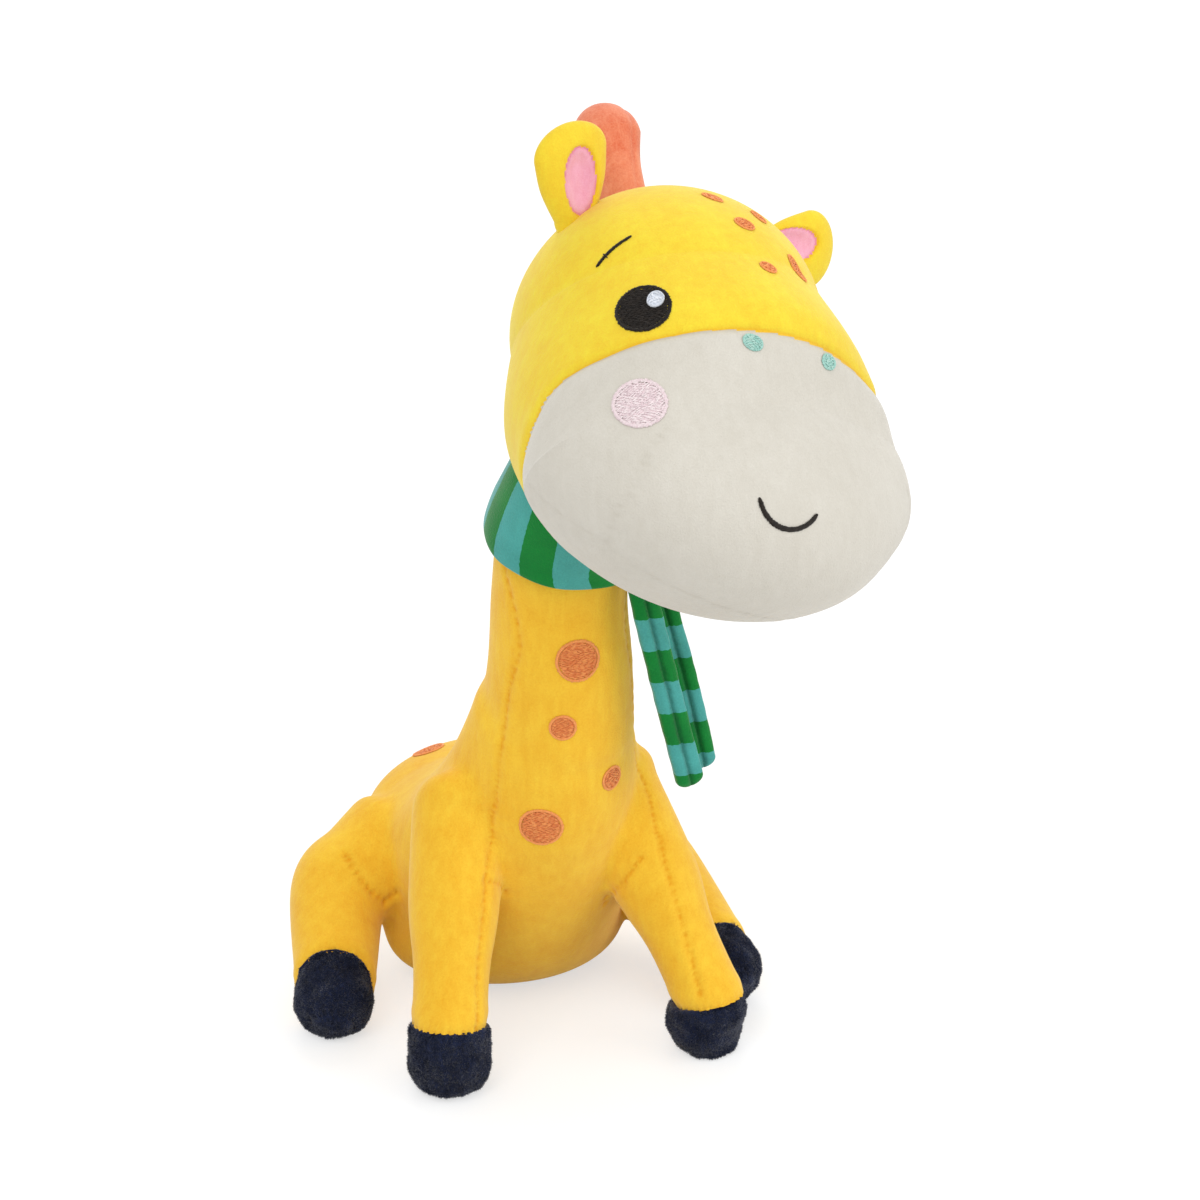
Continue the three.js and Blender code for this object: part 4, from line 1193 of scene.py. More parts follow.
@dataclass
class Head:
    """The head: crown and muzzle under one skin, and the axes that the ears, tuft and face are placed by."""

    toy: ToyFrame
    dresser: Dresser
    place: tuple[float, float, float] = (25.5, -16, 230)
    turn_degrees: float = 17
    tilt_degrees: float = 25
    width: float = 82
    length: float = 96
    muzzle_width: float = 116.4
    seam_ahead: float = 27
    seam_lean_degrees: float = 41
    seam_depth: float = 0.95
    seam_width: float = 1.3
    jaw_level: float = -21
    jaw_slope: float = 0.56
    jaw_round: float = 4
    head_rows: tuple[tuple[float, ...], ...] = (
        (-0.03, 0.345, 0.287, 0, 0, 0),
        (-0.052, 0.02, 0.02, 0.065, 0.487, 0.407),
        (-0.05, -0.14, -0.14, 0.48, 0.531, 0.472),
        (-0.026, -0.31, -0.3, 1, 0.416, 0.373),
        (0.084, -0.682, -0.55, 1, 0, 0),
    )
    swells: tuple[tuple[float, float, float, float, float], ...] = (
        (46, -53, -22, 2.3, 11),
        (41, -43, -8, 4.0, 15),
        (33, -38, 5, 1.2, 13),
        (44, -56, -40, -0.4, 10),
        (-44, -54.6, -18, 1.0, 11),
    )
    dart_right: tuple[tuple[float, float, float], ...] = (
        (-44, -54.6, -16.8), (-45.9, -54.1, -25.3), (-46.1, -52.3, -35), (-45, -49.6, -42.4), (-41.9, -45.6, -49.5),
    )
    chin_seam: tuple[tuple[float, float, float], ...] = (
        (-52, -26, -44), (-47.5, -38, -47.5), (-41.9, -45.6, -49.5), (-32, -50.7, -53.1), (-18.3, -55.4, -55),
        (-7.2, -56.7, -55.5), (6.8, -56.5, -55.8), (22.4, -51.1, -56.9), (36, -43, -54), (47, -30, -48),
    )
    frame: np.ndarray = field(init=False)
    skin: Skin = field(init=False)

    def __post_init__(self) -> None:
        """Works out the head's own axes: to its left, to its nape and to its crown."""
        turn = Matrix.Rotation(math.radians(self.turn_degrees), 3, "Z")
        tilt = Matrix.Rotation(math.radians(self.tilt_degrees), 3, "Y")
        self.frame = np.array(turn @ tilt)

    def out(self, local: Sequence[float]) -> np.ndarray:
        """Points of the head's own layout in the toy's."""
        return np.asarray(local, float) @ self.frame.T + np.array(self.place)

    def direction(self, x: float, y: float, z: float) -> np.ndarray:
        """A direction of the head's own layout in the toy's."""
        return unit(self.frame @ np.array([x, y, z], float))

    def headward(self, around: float, up: float) -> np.ndarray:
        """The direction at degrees round from straight ahead and degrees up."""
        a, u = math.radians(around), math.radians(up)
        return self.direction(math.sin(a) * math.cos(u), -math.cos(a) * math.cos(u), math.sin(u))

    def seam_level(self, points: np.ndarray) -> np.ndarray:
        """How far past the muzzle's seam points lie: the seam drops where it comes to the jaw.

        Args:
            points: the points.

        Returns:
            A distance for each point, above 0 on the muzzle.
        """
        local = (points - np.array(self.place)) @ self.frame
        lean = math.radians(self.seam_lean_degrees)
        ahead = -local[:, 1] * math.cos(lean) - local[:, 2] * math.sin(lean)
        below = self.jaw_level - local[:, 2]
        return ahead - self.seam_ahead - self.jaw_slope * (below + np.sqrt(below**2 + self.jaw_round**2)) / 2

    def swollen(self, local: np.ndarray) -> np.ndarray:
        """Pushes the muzzle's sewn corners out.

        Args:
            local: points of the head's own layout.

        Returns:
            The points after the push.
        """
        for x, y, z, push, reach in self.swells:
            near = np.exp(-((np.linalg.norm(local - np.array([x, y, z]), axis=1) / reach) ** 2))
            local = local + unit(np.array([math.copysign(0.85, x), -0.5, 0.05])) * (push * near)[:, None]
        return local

    def build(self) -> None:
        """Makes the head's cloth."""
        rows = []
        for aside, back, up, over, throat, forehead in self.head_rows:
            half = (self.width + (self.muzzle_width - self.width) * over) / 2
            middle = [v * self.length for v in (aside, back, up)]
            rows.append((*middle, half, throat * self.length, forehead * self.length))
        form = stuffed_form(rows, 220, 44)
        form.points = self.out(self.swollen(form.points))
        form = split_at_level(form, self.seam_level)
        level = self.seam_level(form.points)
        normals = form.normals()
        skin = Skin(form, self.toy)
        self.draw_in(skin, level, normals)
        dart_left = [(-x, y, z) for x, y, z in self.dart_right]
        seams = (self.dart_right, self.chin_seam, dart_left)
        skin.sew([Seam(self.out(places), depth=0.3, width=0.9, pucker=0.1, shade=0.55) for places in seams])
        middles = skin.middles()
        below = self.seam_level(middles) > 0
        # The crown takes the lighter copy of the yellow plush, with painted top light.
        for name, keep, node, finish in (
            ("crown_cloth", ~below, "head_crown", Finish.CROWN),
            ("muzzle_cloth", below, "muzzle", Finish.CREAM),
        ):
            piece = skin.cut(name, keep)
            self.dresser.dress(piece, finish, [node], 0.85)
            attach(piece, "head")
        self.skin = skin

    def draw_in(self, skin: Skin, level: np.ndarray, normals: np.ndarray) -> None:
        """Draws the cloth in at the seam between crown and muzzle.

        Args:
            skin: the head's skin, whose points move.
            level: how far past the seam each point lies.
            normals: each point's direction.
        """
        gap = np.abs(level)
        points = skin.form.points
        wave = np.array([noise(Vector(p * 0.12)) for p in points])
        valley = np.exp(-((gap / self.seam_width) ** 2))
        swell = 0.35 * np.exp(-(((gap - 4.5) / 3.2) ** 2)) * (level > 0)
        points += normals * (-self.seam_depth * valley + swell + 0.25 * wave * np.exp(-gap / 7))[:, None]
        skin.mark = np.maximum(skin.mark, np.exp(-((gap / 0.5) ** 2)))
        skin.normals = skin.form.normals()


def split_at_level(form: Form, level: Callable[[np.ndarray], np.ndarray]) -> Form:
    """Cuts a form's faces where a level is zero, so that an edge runs there.

    Args:
        form: the form.
        level: the level at points.

    Returns:
        The form with its faces cut.
    """
    heights = level(form.points)
    points = list(form.points)
    cuts: dict[tuple[int, int], int] = {}
    faces: Faces = []
    for face in form.faces:
        signs = heights[list(face)] > 0
        if signs.all() or not signs.any():
            faces.append(face)
            continue
        parts: dict[bool, list[int]] = {True: [], False: []}
        for a, b in zip(face, face[1:] + face[:1]):
            parts[bool(heights[a] > 0)].append(a)
            if (heights[a] > 0) != (heights[b] > 0):
                key = (min(a, b), max(a, b))
                if key not in cuts:
                    share = heights[key[0]] / (heights[key[0]] - heights[key[1]])
                    share = min(max(share, 0.02), 0.98)
                    cuts[key] = len(points)
                    points.append(form.points[key[0]] * (1 - share) + form.points[key[1]] * share)
                for part in parts.values():
                    part.append(cuts[key])
        faces += [tuple(part) for part in parts.values() if len(part) > 2]
    return Form(np.array(points), faces)


# ---- Embroidery


@dataclass
class Patch:
    """A place on a skin that thread is sewn to, with its own flat layout."""

    tree: BVHTree
    start: np.ndarray
    direction: np.ndarray
    top: np.ndarray
    place: np.ndarray = field(init=False)
    out: np.ndarray = field(init=False)
    wide: np.ndarray = field(init=False)
    high: np.ndarray = field(init=False)

    def __post_init__(self) -> None:
        """Finds the place where the line leaves the skin, and the skin's mean direction there."""
        hit, _, _, _ = self.tree.ray_cast(Vector(self.start + self.direction * FAR), Vector(-self.direction))
        self.place = np.array(hit)
        around = []
        for turn in range(8):
            aside = unit(np.cross(self.direction, self.top + 0.01))
            above = np.cross(aside, self.direction)
            step = (aside * math.cos(turn * math.pi / 4) + above * math.sin(turn * math.pi / 4)) * 3
            found = self.tree.ray_cast(Vector(self.place + step + self.direction * 20), Vector(-self.direction))
            if found[0] is not None:
                around.append(np.array(found[1]))
        self.out = unit(np.mean(around, 0))
        self.wide = unit(np.cross(self.top, self.out))
        self.high = np.cross(self.out, self.wide)

    def on(self, u: float, v: float, lift: float) -> np.ndarray:
        """The point above the skin at a place of the patch.

        Args:
            u, v: the place, to the right and up.
            lift: how far above the skin.

        Returns:
            The point in the toy's layout.
        """
        flat = self.place + self.wide * u + self.high * v
        hit, normal, _, _ = self.tree.ray_cast(Vector(flat + self.out * 12), Vector(-self.out))
        if hit is None:
            return flat + self.out * lift
        return np.array(hit) + np.array(normal) * lift


@dataclass
class Thread:
    """Stitches gathered into one mesh."""

    points: list[np.ndarray] = field(default_factory=list)
    faces: Faces = field(default_factory=list)
    tones: list[float] = field(default_factory=list)

    def stitch(
        self,
        patch: Patch,
        start: tuple[float, float],
        end: tuple[float, float],
        thick: float,
        lift: float,
        shade: float,
    ) -> None:
        """Adds a stitch that rises from the cloth and dives back.

        Args:
            patch: where it is sewn.
            start, end: its ends on the patch.
            thick: the thread's width.
            lift: the thread's middle above the cloth.
            shade: its tone, 0 to 1.
        """
        rings, sides = 5, 5
        end_share, flat = 0.62, 0.8
        ways = np.linspace(0, 1, rings)
        path = []
        for w in ways:
            rise = lift * (0.25 + 0.75 * math.sin(math.pi * min(max(w, 0.12), 0.88)))
            path.append(patch.on(start[0] + (end[0] - start[0]) * w, start[1] + (end[1] - start[1]) * w, rise))
        path = np.array(path)
        along = unit(path[-1] - path[0])
        wide = unit(np.cross(patch.out, along))
        base = len(self.points)
        self.points.append(path[0])
        for i in range(rings):
            half = thick / 2 * (end_share if i in (0, rings - 1) else 1)
            for k in range(sides):
                t = 2 * math.pi * k / sides
                self.points.append(path[i] + wide * half * math.cos(t) + patch.out * half * flat * math.sin(t))
        self.points.append(path[-1])
        self.tones += [shade] * (rings * sides + 2)

        def at(i: int, k: int) -> int:
            """A point's number."""
            return base + 1 + i * sides + k % sides

        last = base + rings * sides + 1
        for k in range(sides):
            self.faces.append((base, at(0, k + 1), at(0, k)))
            self.faces += [(at(i, k), at(i, k + 1), at(i + 1, k + 1), at(i + 1, k)) for i in range(rings - 1)]
            self.faces.append((last, at(rings - 1, k), at(rings - 1, k + 1)))

    def pad(self, patch: Patch, outline: Callable[[float], tuple[float, float]], lift: float) -> None:
        """Adds the ground of thread under the stitches.

        Args:
            patch: where it is sewn.
            outline: the outline's point at a turn from 0 to 1.
            lift: its height above the cloth.
        """
        rings, sides = 5, 40
        base = len(self.points)
        middle = [(outline(0)[k] + outline(0.5)[k]) / 2 for k in (0, 1)]
        self.points.append(patch.on(*middle, lift))
        for i in range(1, rings + 1):
            share = i / rings
            rise = lift if i < rings else -0.25
            for k in range(sides):
                edge = outline(k / sides)
                spot = [middle[j] + (edge[j] - middle[j]) * share for j in (0, 1)]
                self.points.append(patch.on(spot[0], spot[1], rise))
        self.tones += [0.25] * (rings * sides + 1)

        def at(i: int, k: int) -> int:
            """A point's number."""
            return base + 1 + (i - 1) * sides + k % sides

        for k in range(sides):
            self.faces.append((base, at(1, k), at(1, k + 1)))
            self.faces += [(at(i, k), at(i + 1, k), at(i + 1, k + 1), at(i, k + 1)) for i in range(1, rings)]

    def piece(self, toy: ToyFrame, name: str) -> bpy.types.Object:
        """Makes the stitches a piece.

        Args:
            toy: the toy's frame.
            name: the piece's name.

        Returns:
            The piece, which holds each stitch's tone.
        """
        made = Form(np.array(self.points), self.faces).piece(toy, name)
        made.data.attributes.new("stitch", "FLOAT", "POINT").data.foreach_set("value", self.tones)
        return made


def oval_outline(width: float, height: float, turn_degrees: float) -> Callable[[float], tuple[float, float]]:
    """The outline of an oval.

    Args:
        width, height: its size.
        turn_degrees: how far it is turned to the left.

    Returns:
        A function from a turn of 0 to 1 to a point.
    """
    a = math.radians(turn_degrees)

    def point(t: float) -> tuple[float, float]:
        """The point at a turn."""
        x, y = width / 2 * math.cos(2 * math.pi * t), height / 2 * math.sin(2 * math.pi * t)
        return x * math.cos(a) - y * math.sin(a), x * math.sin(a) + y * math.cos(a)

    return point


@dataclass
class Embroiderer:
    """Sews ovals and lines of thread on skins."""

    toy: ToyFrame
    dresser: Dresser
    thick: float = 0.38
    lift: float = 0.34
    ground: float = 0.16
    long: float = 1.7
    short: float = 0.4
    narrow: float = 0.35
    tilt: float = 0.19
    apart: float = 0.08

    def oval(
        self,
        name: str,
        patch: Patch,
        width: float,
        height: float,
        turn: float,
        finish: Finish,
        body: str,
        ring: float,
    ) -> None:
        """Sews a filled oval with a border.

        Args:
            name: the CAD node that it stands for.
            patch: where it is sewn.
            width, height: its size.
            turn: how far it is turned to the left, in degrees.
            finish: the thread.
            body: the body that it rides on.
            ring: the width of the border of stitches across its edge.
        """
        draw = np.random.default_rng(len(name) * 97 + 5)
        thread = Thread()
        thread.pad(patch, oval_outline(width * 0.98, height * 0.98, turn), self.ground)
        a = math.radians(turn)
        pale = finish is Finish.ORANGE
        inner = 1 - (1.9 if pale else 1.0) * ring / max(width, height)
        half_w, half_h = width / 2 * inner, height / 2 * inner
        rows = max(int(2 * half_h / (self.thick * 0.9)), 2)
        for row in range(rows):
            v = -half_h + (row + 0.5) * 2 * half_h / rows
            reach = half_w * math.sqrt(max(1 - (v / half_h) ** 2, 0))
            if reach < self.narrow:
                continue
            u = -reach - self.long * draw.random()
            while u < reach:
                u0, u1 = max(u, -reach), min(u + self.long, reach)
                if u1 - u0 > self.short:
                    tilt = draw.normal(0, self.tilt)
                    ends = [(u0 + self.apart, v - tilt), (u1 - self.apart, v + tilt)]
                    placed = [(x * math.cos(a) - y * math.sin(a), x * math.sin(a) + y * math.cos(a)) for x, y in ends]
                    thick = self.thick * draw.uniform(0.9, 1.15)
                    lift = self.lift * draw.uniform(0.85, 1.2)
                    thread.stitch(patch, *placed, thick, lift, draw.uniform(0.15, 0.85))
                u += self.long * draw.uniform(0.75, 1.25)
        edge = oval_outline(width, height, turn)
        count = int(math.pi * (width + height) / 2 / (self.thick * 0.85))
        share = 1 - 2 * ring / max(width, height)
        shades = (0.7, 1) if pale else (0.1, 0.6)
        for k in range(count):
            x, y = edge(k / count)
            far = 1.02 + draw.normal(0, 0.012)
            ends = [(x * share, y * share), (x * far, y * far)]
            thread.stitch(patch, *ends, self.thick, self.lift * 1.2, draw.uniform(*shades))
        self.finish(thread, name, finish, body)

    def line(
        self,
        name: str,
        patch: Patch,
        path: Sequence[tuple[float, float]],
        width: float,
        finish: Finish,
        body: str,
        across: tuple[tuple[float, float], tuple[float, float]] | None = None,
    ) -> None:
        """Sews a line of close stitches across a path.

        Args:
            name: the CAD node that it stands for.
            patch: where it is sewn.
            path: the line's points on the patch.
            width: the line's width.
            finish: the thread.
            body: the body that it rides on.
            across: the ends of one stitch across the line, or None.
        """
        draw = np.random.default_rng(len(name) * 31 + 2)
        thread = Thread()
        table = np.array(path, float)
        length = np.linalg.norm(np.diff(table, axis=0), axis=1).sum()
        count = int(length / (self.thick * 0.8))
        spots = smooth_rows(table, np.linspace(0, len(table) - 1, count))
        ahead = unit(np.gradient(spots, axis=0))
        for k, (spot, way) in enumerate(zip(spots, ahead)):
            side = np.array([-way[1], way[0]]) + way * 0.5
            taper = min(1.0, 0.45 + min(k, count - 1 - k) * 0.16)
            reach = side * width / 2 * taper * draw.uniform(0.85, 1.12)
            ends = [tuple(spot - reach), tuple(spot + reach)]
            thread.stitch(patch, *ends, self.thick * 1.1, self.lift, draw.uniform(0.2, 1))
        if across:
            thread.stitch(patch, *across, self.thick * 1.2, self.lift + 0.35, 0.3)
        self.finish(thread, name, finish, body)

    def finish(self, thread: Thread, name: str, finish: Finish, body: str) -> None:
        """Makes, dresses and mounts the stitches.

        Args:
            thread: the stitches.
            name: the CAD node that they stand for.
            finish: the thread.
            body: the body that they ride on.
        """
        piece = thread.piece(self.toy, name + "_thread")
        self.dresser.dress(piece, finish, [name])
        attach(piece, body)


@dataclass
class Face:
    """Eyes, brows, cheeks, nostrils, mouth and the crown's spots."""

    head: Head
    sewer: Embroiderer
    spot_width: float = 12.6
    cheek_at: dict[str, tuple[float, float]] = field(
        default_factory=lambda: {"right": (46.3, -11.8), "left": (54, -11.8)}
    )
    nostril_at: dict[str, tuple[float, float]] = field(default_factory=lambda: {"right": (23.8, 10), "left": (7, 11.6)})
    brow_at: tuple[float, float] = (80.9, 22.7)
    brow_turn_degrees: float = 12
    brow_half: float = 6.1
    brow_width: float = 1.0
    mouth_at: tuple[float, float] = (-8, -20)
    mouth_reach: float = 9.5
    mouth_drop: float = 5.8
    mouth_width: float = 1.35
    crown_spots: dict[str, tuple[float, float, float, float]] = field(
        default_factory=lambda: {
            "spot_crown_right": (-30.9, 62.6, 0.5, 0.38),
            "spot_brow_right": (-16.4, 41.2, 0.42, 0.36),
            "spot_brow_left": (11.7, 48.4, 0.3, 0.72),
            "spot_crown_top": (-76.8, 72.2, 0.5, 0.3),
            "spot_crown_left": (0, 76, 0.3, 0.45),
        }
    )

    def patch(self, tree: BVHTree, around: float, up: float) -> Patch:
        """A patch at degrees round from the head's straight ahead and degrees up."""
        direction = self.head.headward(around, up)
        return Patch(tree, np.array(self.head.place), direction, self.head.direction(0, 0, 1))

    def build(self) -> None:
        """Sews the face."""
        tree = self.head.skin.form.tree()
        raised = Embroiderer(self.sewer.toy, self.sewer.dresser, lift=0.9, ground=0.62)
        for name, side in SIDES.items():
            for kind, sewer, (around, up), (wide, high), turn, finish, ring in (
                ("eye", self.sewer, (56.6, 8.4), (14.9, 15.3), -38, Finish.BLACK, 0.9),
                ("eye_light", raised, (54.2, 11.8), (4.5, 5.4), -20, Finish.WHITE, 0.5),
                ("cheek", self.sewer, self.cheek_at[name], (14.4, 13.8), -43, Finish.BLUSH, 0.9),
                ("nostril", self.sewer, self.nostril_at[name], (6.2, 4.4), 0, Finish.TEAL, 0.6),
            ):
                patch = self.patch(tree, side * around, up)
                sewer.oval(f"{kind}_{name}", patch, wide, high, side * turn, finish, "head", ring)
            brow = self.patch(tree, side * self.brow_at[0], self.brow_at[1])
            a = math.radians(90 + side * self.brow_turn_degrees)
            long = self.brow_half
            ends = [(s * long * math.cos(a) - side * 0.5 * s * s, s * long * math.sin(a)) for s in (-1, -0.3, 0.3, 1)]
            across = (ends[1][0] - 1.0, ends[1][1] - 0.4), (ends[1][0] + 1.0, ends[1][1] - 0.9)
            self.sewer.line("brow_" + name, brow, ends, self.brow_width, Finish.BLACK, "head", across)
        mouth = self.patch(tree, *self.mouth_at)
        turns = np.linspace(-1, 1, 9)
        reach, drop = self.mouth_reach, self.mouth_drop
        radius = (reach**2 + drop**2) / (2 * drop)
        half = math.asin(reach / radius)
        arc = [(radius * math.sin(t * half), radius - drop - radius * math.cos(t * half)) for t in turns]
        self.sewer.line("mouth", mouth, arc, self.mouth_width, Finish.BLACK, "head")
        for name, (around, up, wide, high) in self.crown_spots.items():
            spot = self.patch(tree, around, up)
            self.sewer.oval(name, spot, wide * self.spot_width, high * self.spot_width, 0, Finish.ORANGE, "head", 0.5)


@dataclass
class BodySpots:
    """The embroidered spots of the chest and the rump."""

    body: Body
    sewer: Embroiderer
    spot_width: float = 12.6
    spot_ring: float = 0.7
    rump_up_degrees: float = 33
    rump_height: float = 0.34
    rump_share: float = 0.8

    def build(self, skin: Skin) -> None:
        """Sews the spots.

        Args:
            skin: the body's skin, which they lie on.
        """
        tree = skin.form.tree()
        for name, up, around, share in (
            ("spot_throat", 0.857, 0, 1),
            ("spot_chest_upper", 0.722, -13, 0.62),
            ("spot_chest_left", 0.59, 38, 0.6),
            ("spot_chest_right", 0.505, -33, 1),
        ):
            a = math.radians(around)
            start = np.array([0, self.body.neck_back, up * self.body.neck_top])
            patch = Patch(tree, start, np.array([math.sin(a), -math.cos(a), 0]), UP)
            size = share * self.spot_width
            self.sewer.oval(name, patch, size, size, 0, Finish.ORANGE, "trunk", self.spot_ring)
        for name, around in (("spot_rump_right", 34), ("spot_rump_left", -34)):
            a, u = math.radians(around), math.radians(self.rump_up_degrees)
            direction = np.array([-math.sin(a) * math.cos(u), math.cos(a) * math.cos(u), math.sin(u)])
            start = np.array([0, self.body.seat_share * self.body.length, self.rump_height * self.body.height])
            patch = Patch(tree, start, direction, UP)
            size = self.rump_share * self.spot_width
            self.sewer.oval(name, patch, size, size, 0, Finish.ORANGE, "trunk", self.spot_ring)


# ---- Ears, tuft and tail


@dataclass
class Trimmings:
    """Ears with their linings, the mane's tuft, and the tail."""

    toy: ToyFrame
    dresser: Dresser
    head: Head
    ear_length: float = 27
    ear_width: float = 23
    ear_thick: float = 9
    lining: tuple[float, float] = (10, 17.5)
    lining_at: dict[str, tuple[float, float]] = field(
        default_factory=lambda: {"right": (0.6, 12.0), "left": (-3.2, 10.2)}
    )
    ear_around: float = 121
    cup_depth: float = 3.0
    tuft_length: float = 34.5
    tuft_width: float = 20
    tuft_at: tuple[float, float] = (186, 32)
    tuft_lean_degrees: float = 42
    tuft_aside_degrees: float = 7
    tuft_seam_at: float = -0.8
    tail_size: tuple[float, float] = (30, 8)
    tail_lean_degrees: float = 35
    tail_tuft_size: tuple[float, float] = (17, 12)
    tail_tuft_from: float = 22.5

    def build(self) -> None:
        """Makes all the trimmings."""
        tree = self.head.skin.form.tree()
        for name, side, up, lean in (("right", -1, 27, 30), ("left", 1, 37, 67)):
            to_seam = self.head.headward(side * self.ear_around, up)
            self.ear(tree, name, to_seam, math.radians(lean) * side, self.lining_at[name])
        self.tuft(tree)
        self.tail()
        self.pouch()

    def surface(self, tree: BVHTree, start: np.ndarray, direction: np.ndarray) -> np.ndarray:
        """Where a line from inside leaves a skin."""
        return np.array(tree.ray_cast(Vector(start + direction * FAR), Vector(-direction))[0])

    def ear(self, tree: BVHTree, name: str, to_seam: np.ndarray, lean: float, lining_at: tuple[float, float]) -> None:
        """One ear, cupped at the front, with its lining.

        Args:
            tree: the head's skin.
            name: right or left.
            to_seam: the direction from the head's middle to the ear's seam.
            lean: how far the ear leans to the left, in radians.
            lining_at: the lining's middle, to the left of and above the seam.
        """
        root = self.surface(tree, np.array(self.head.place), to_seam)
        along = self.head.direction(math.sin(lean), 0, math.cos(lean))
        axis = self.head.direction(1, 0, 0)
        wide = unit(axis - along * (axis @ along))
        face = np.cross(wide, along)
        wide_thick = np.array([self.ear_width, self.ear_thick, self.ear_thick])
        rows = [
            (*(root + along * up * self.ear_length), *(wide_thick * (half, deep, deep)))
            for up, half, deep in ((-0.25, 0, 0), (0, 0.28, 0.42), (0.35, 0.44, 0.5), (0.68, 0.5, 0.46), (1, 0, 0))
        ]
        form = stuffed_form(rows, 96, 20, wide)
        middle = root + wide * lining_at[0] + along * lining_at[1]
        local = form.points - middle
        u, v, w = local @ wide / (self.lining[0] / 2), local @ along / (self.lining[1] / 2), local @ face
        reach = np.hypot(u, v * np.where(v < 0, 0.82, 1))
        front = w > 0
        cup = np.where(front, np.clip(1.25 - reach, 0, 1), 0)
        form.points -= face * (cup * (3 - 2 * cup) * cup * self.cup_depth)[:, None]
        skin = Skin(form, self.toy)
        rim = np.where(front, np.exp(-(((reach - 1) / 0.09) ** 2)), 0)
        form.points -= form.normals() * (rim * 0.5)[:, None]
        skin.mark = np.where(front, np.exp(-(((reach - 1) / 0.05) ** 2)), 0)
        skin.normals = form.normals()
        lining = np.array([(reach[list(f)].mean() < 1) & front[list(f)].all() for f in form.faces])
        # The ear's cloth takes the same lighter copy of the yellow plush, with painted top light.
        for piece_name, keep, node, finish in (
            (f"ear_{name}_cloth", ~lining, "ear_" + name, Finish.CROWN),
            (f"ear_{name}_lining", lining, "ear_lining_" + name, Finish.PINK),
        ):
            piece = skin.cut(piece_name, keep)
            self.dresser.dress(piece, finish, [node], 0.4)
            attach(piece, "ear_" + name)

    def tuft(self, tree: BVHTree) -> None:
        """The tuft, with a seam down its middle and a waist.

        Args:
            tree: the head's skin.
        """
        root = self.surface(tree, np.array(self.head.place), self.head.headward(*self.tuft_at))
        lean, aside = math.radians(self.tuft_lean_degrees), math.radians(self.tuft_aside_degrees)
        level = math.cos(aside)
        along = self.head.direction(-math.sin(aside), math.sin(lean) * level, math.cos(lean) * level)
        rows = [
            (*(root + along * up * self.tuft_length), *(self.tuft_width * np.array([half, deep, deep])))
            for up, half, deep in ((-0.2, 0, 0), (0, 0.34, 0.34), (0.42, 0.37, 0.35), (0.72, 0.51, 0.43), (1, 0, 0))
        ]
        form = stuffed_form(rows, 90, 20, self.head.direction(1, 0, 0))
        wide = unit(self.head.direction(1, 0, 0))
        off_seam = (form.points - root) @ wide - self.tuft_seam_at
        skin = Skin(form, self.toy)
        groove = np.exp(-((off_seam / 1.1) ** 2))
        form.points -= form.normals() * (groove * 0.35)[:, None]
        skin.mark = np.exp(-((off_seam / 0.5) ** 2)) * 0.15
        skin.normals = form.normals()
        piece = skin.cut("mane_tuft_cloth", np.ones(len(form.faces), bool))
        self.dresser.dress(piece, Finish.TUFT, ["mane_tuft"], 0.6)
        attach(piece, "tuft")

    def tail(self) -> None:
        """The tail and its tuft."""
        low, high = (self.toy.millimetres(p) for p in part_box("tail"))
        root = np.array([0, low[1] - 3, high[2] - 3])
        lean = math.radians(self.tail_lean_degrees)
        along = np.array([0, math.sin(lean), -math.cos(lean)])
        slim, plump = ((-0.3, 0), (0, 0.5), (0.6, 0.43), (1, 0)), ((0, 0), (0.35, 0.5), (0.6, 0.5), (1, 0))
        for name, start, (length, width), shares, finish in (
            ("tail", root, self.tail_size, slim, Finish.BODY),
            ("tail_tuft", root + along * self.tail_tuft_from, self.tail_tuft_size, plump, Finish.TUFT),
        ):
            form = stuffed_form([round_row(start + along * way * length, half * width) for way, half in shares], 48, 12)
            piece = Skin(form, self.toy).cut(name + "_cloth", np.ones(len(form.faces), bool))
            self.dresser.dress(piece, finish, [name], 0.5)
            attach(piece, "tail")

    def pouch(self) -> None:
        """The bag of pellets inside the seat."""
        low, high = (self.toy.millimetres(p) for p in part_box("pellet_bag"))
        middle, half = (low + high) / 2, (high - low) / 2
        rows = [
            round_row((middle[0], middle[1], high[2] - way * 2 * half[2]), share * half[0])
            for way, share in ((0, 0), (0.4, 0.98), (0.7, 0.98), (1, 0))
        ]
        form = stuffed_form(rows, 48, 8)
        piece = Skin(form, self.toy).cut("pellet_pouch", np.ones(len(form.faces), bool))
        self.dresser.dress(piece, Finish.POUCH, ["pellet_bag"], 0.7)
        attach(piece, "trunk")


# ---- Scarf


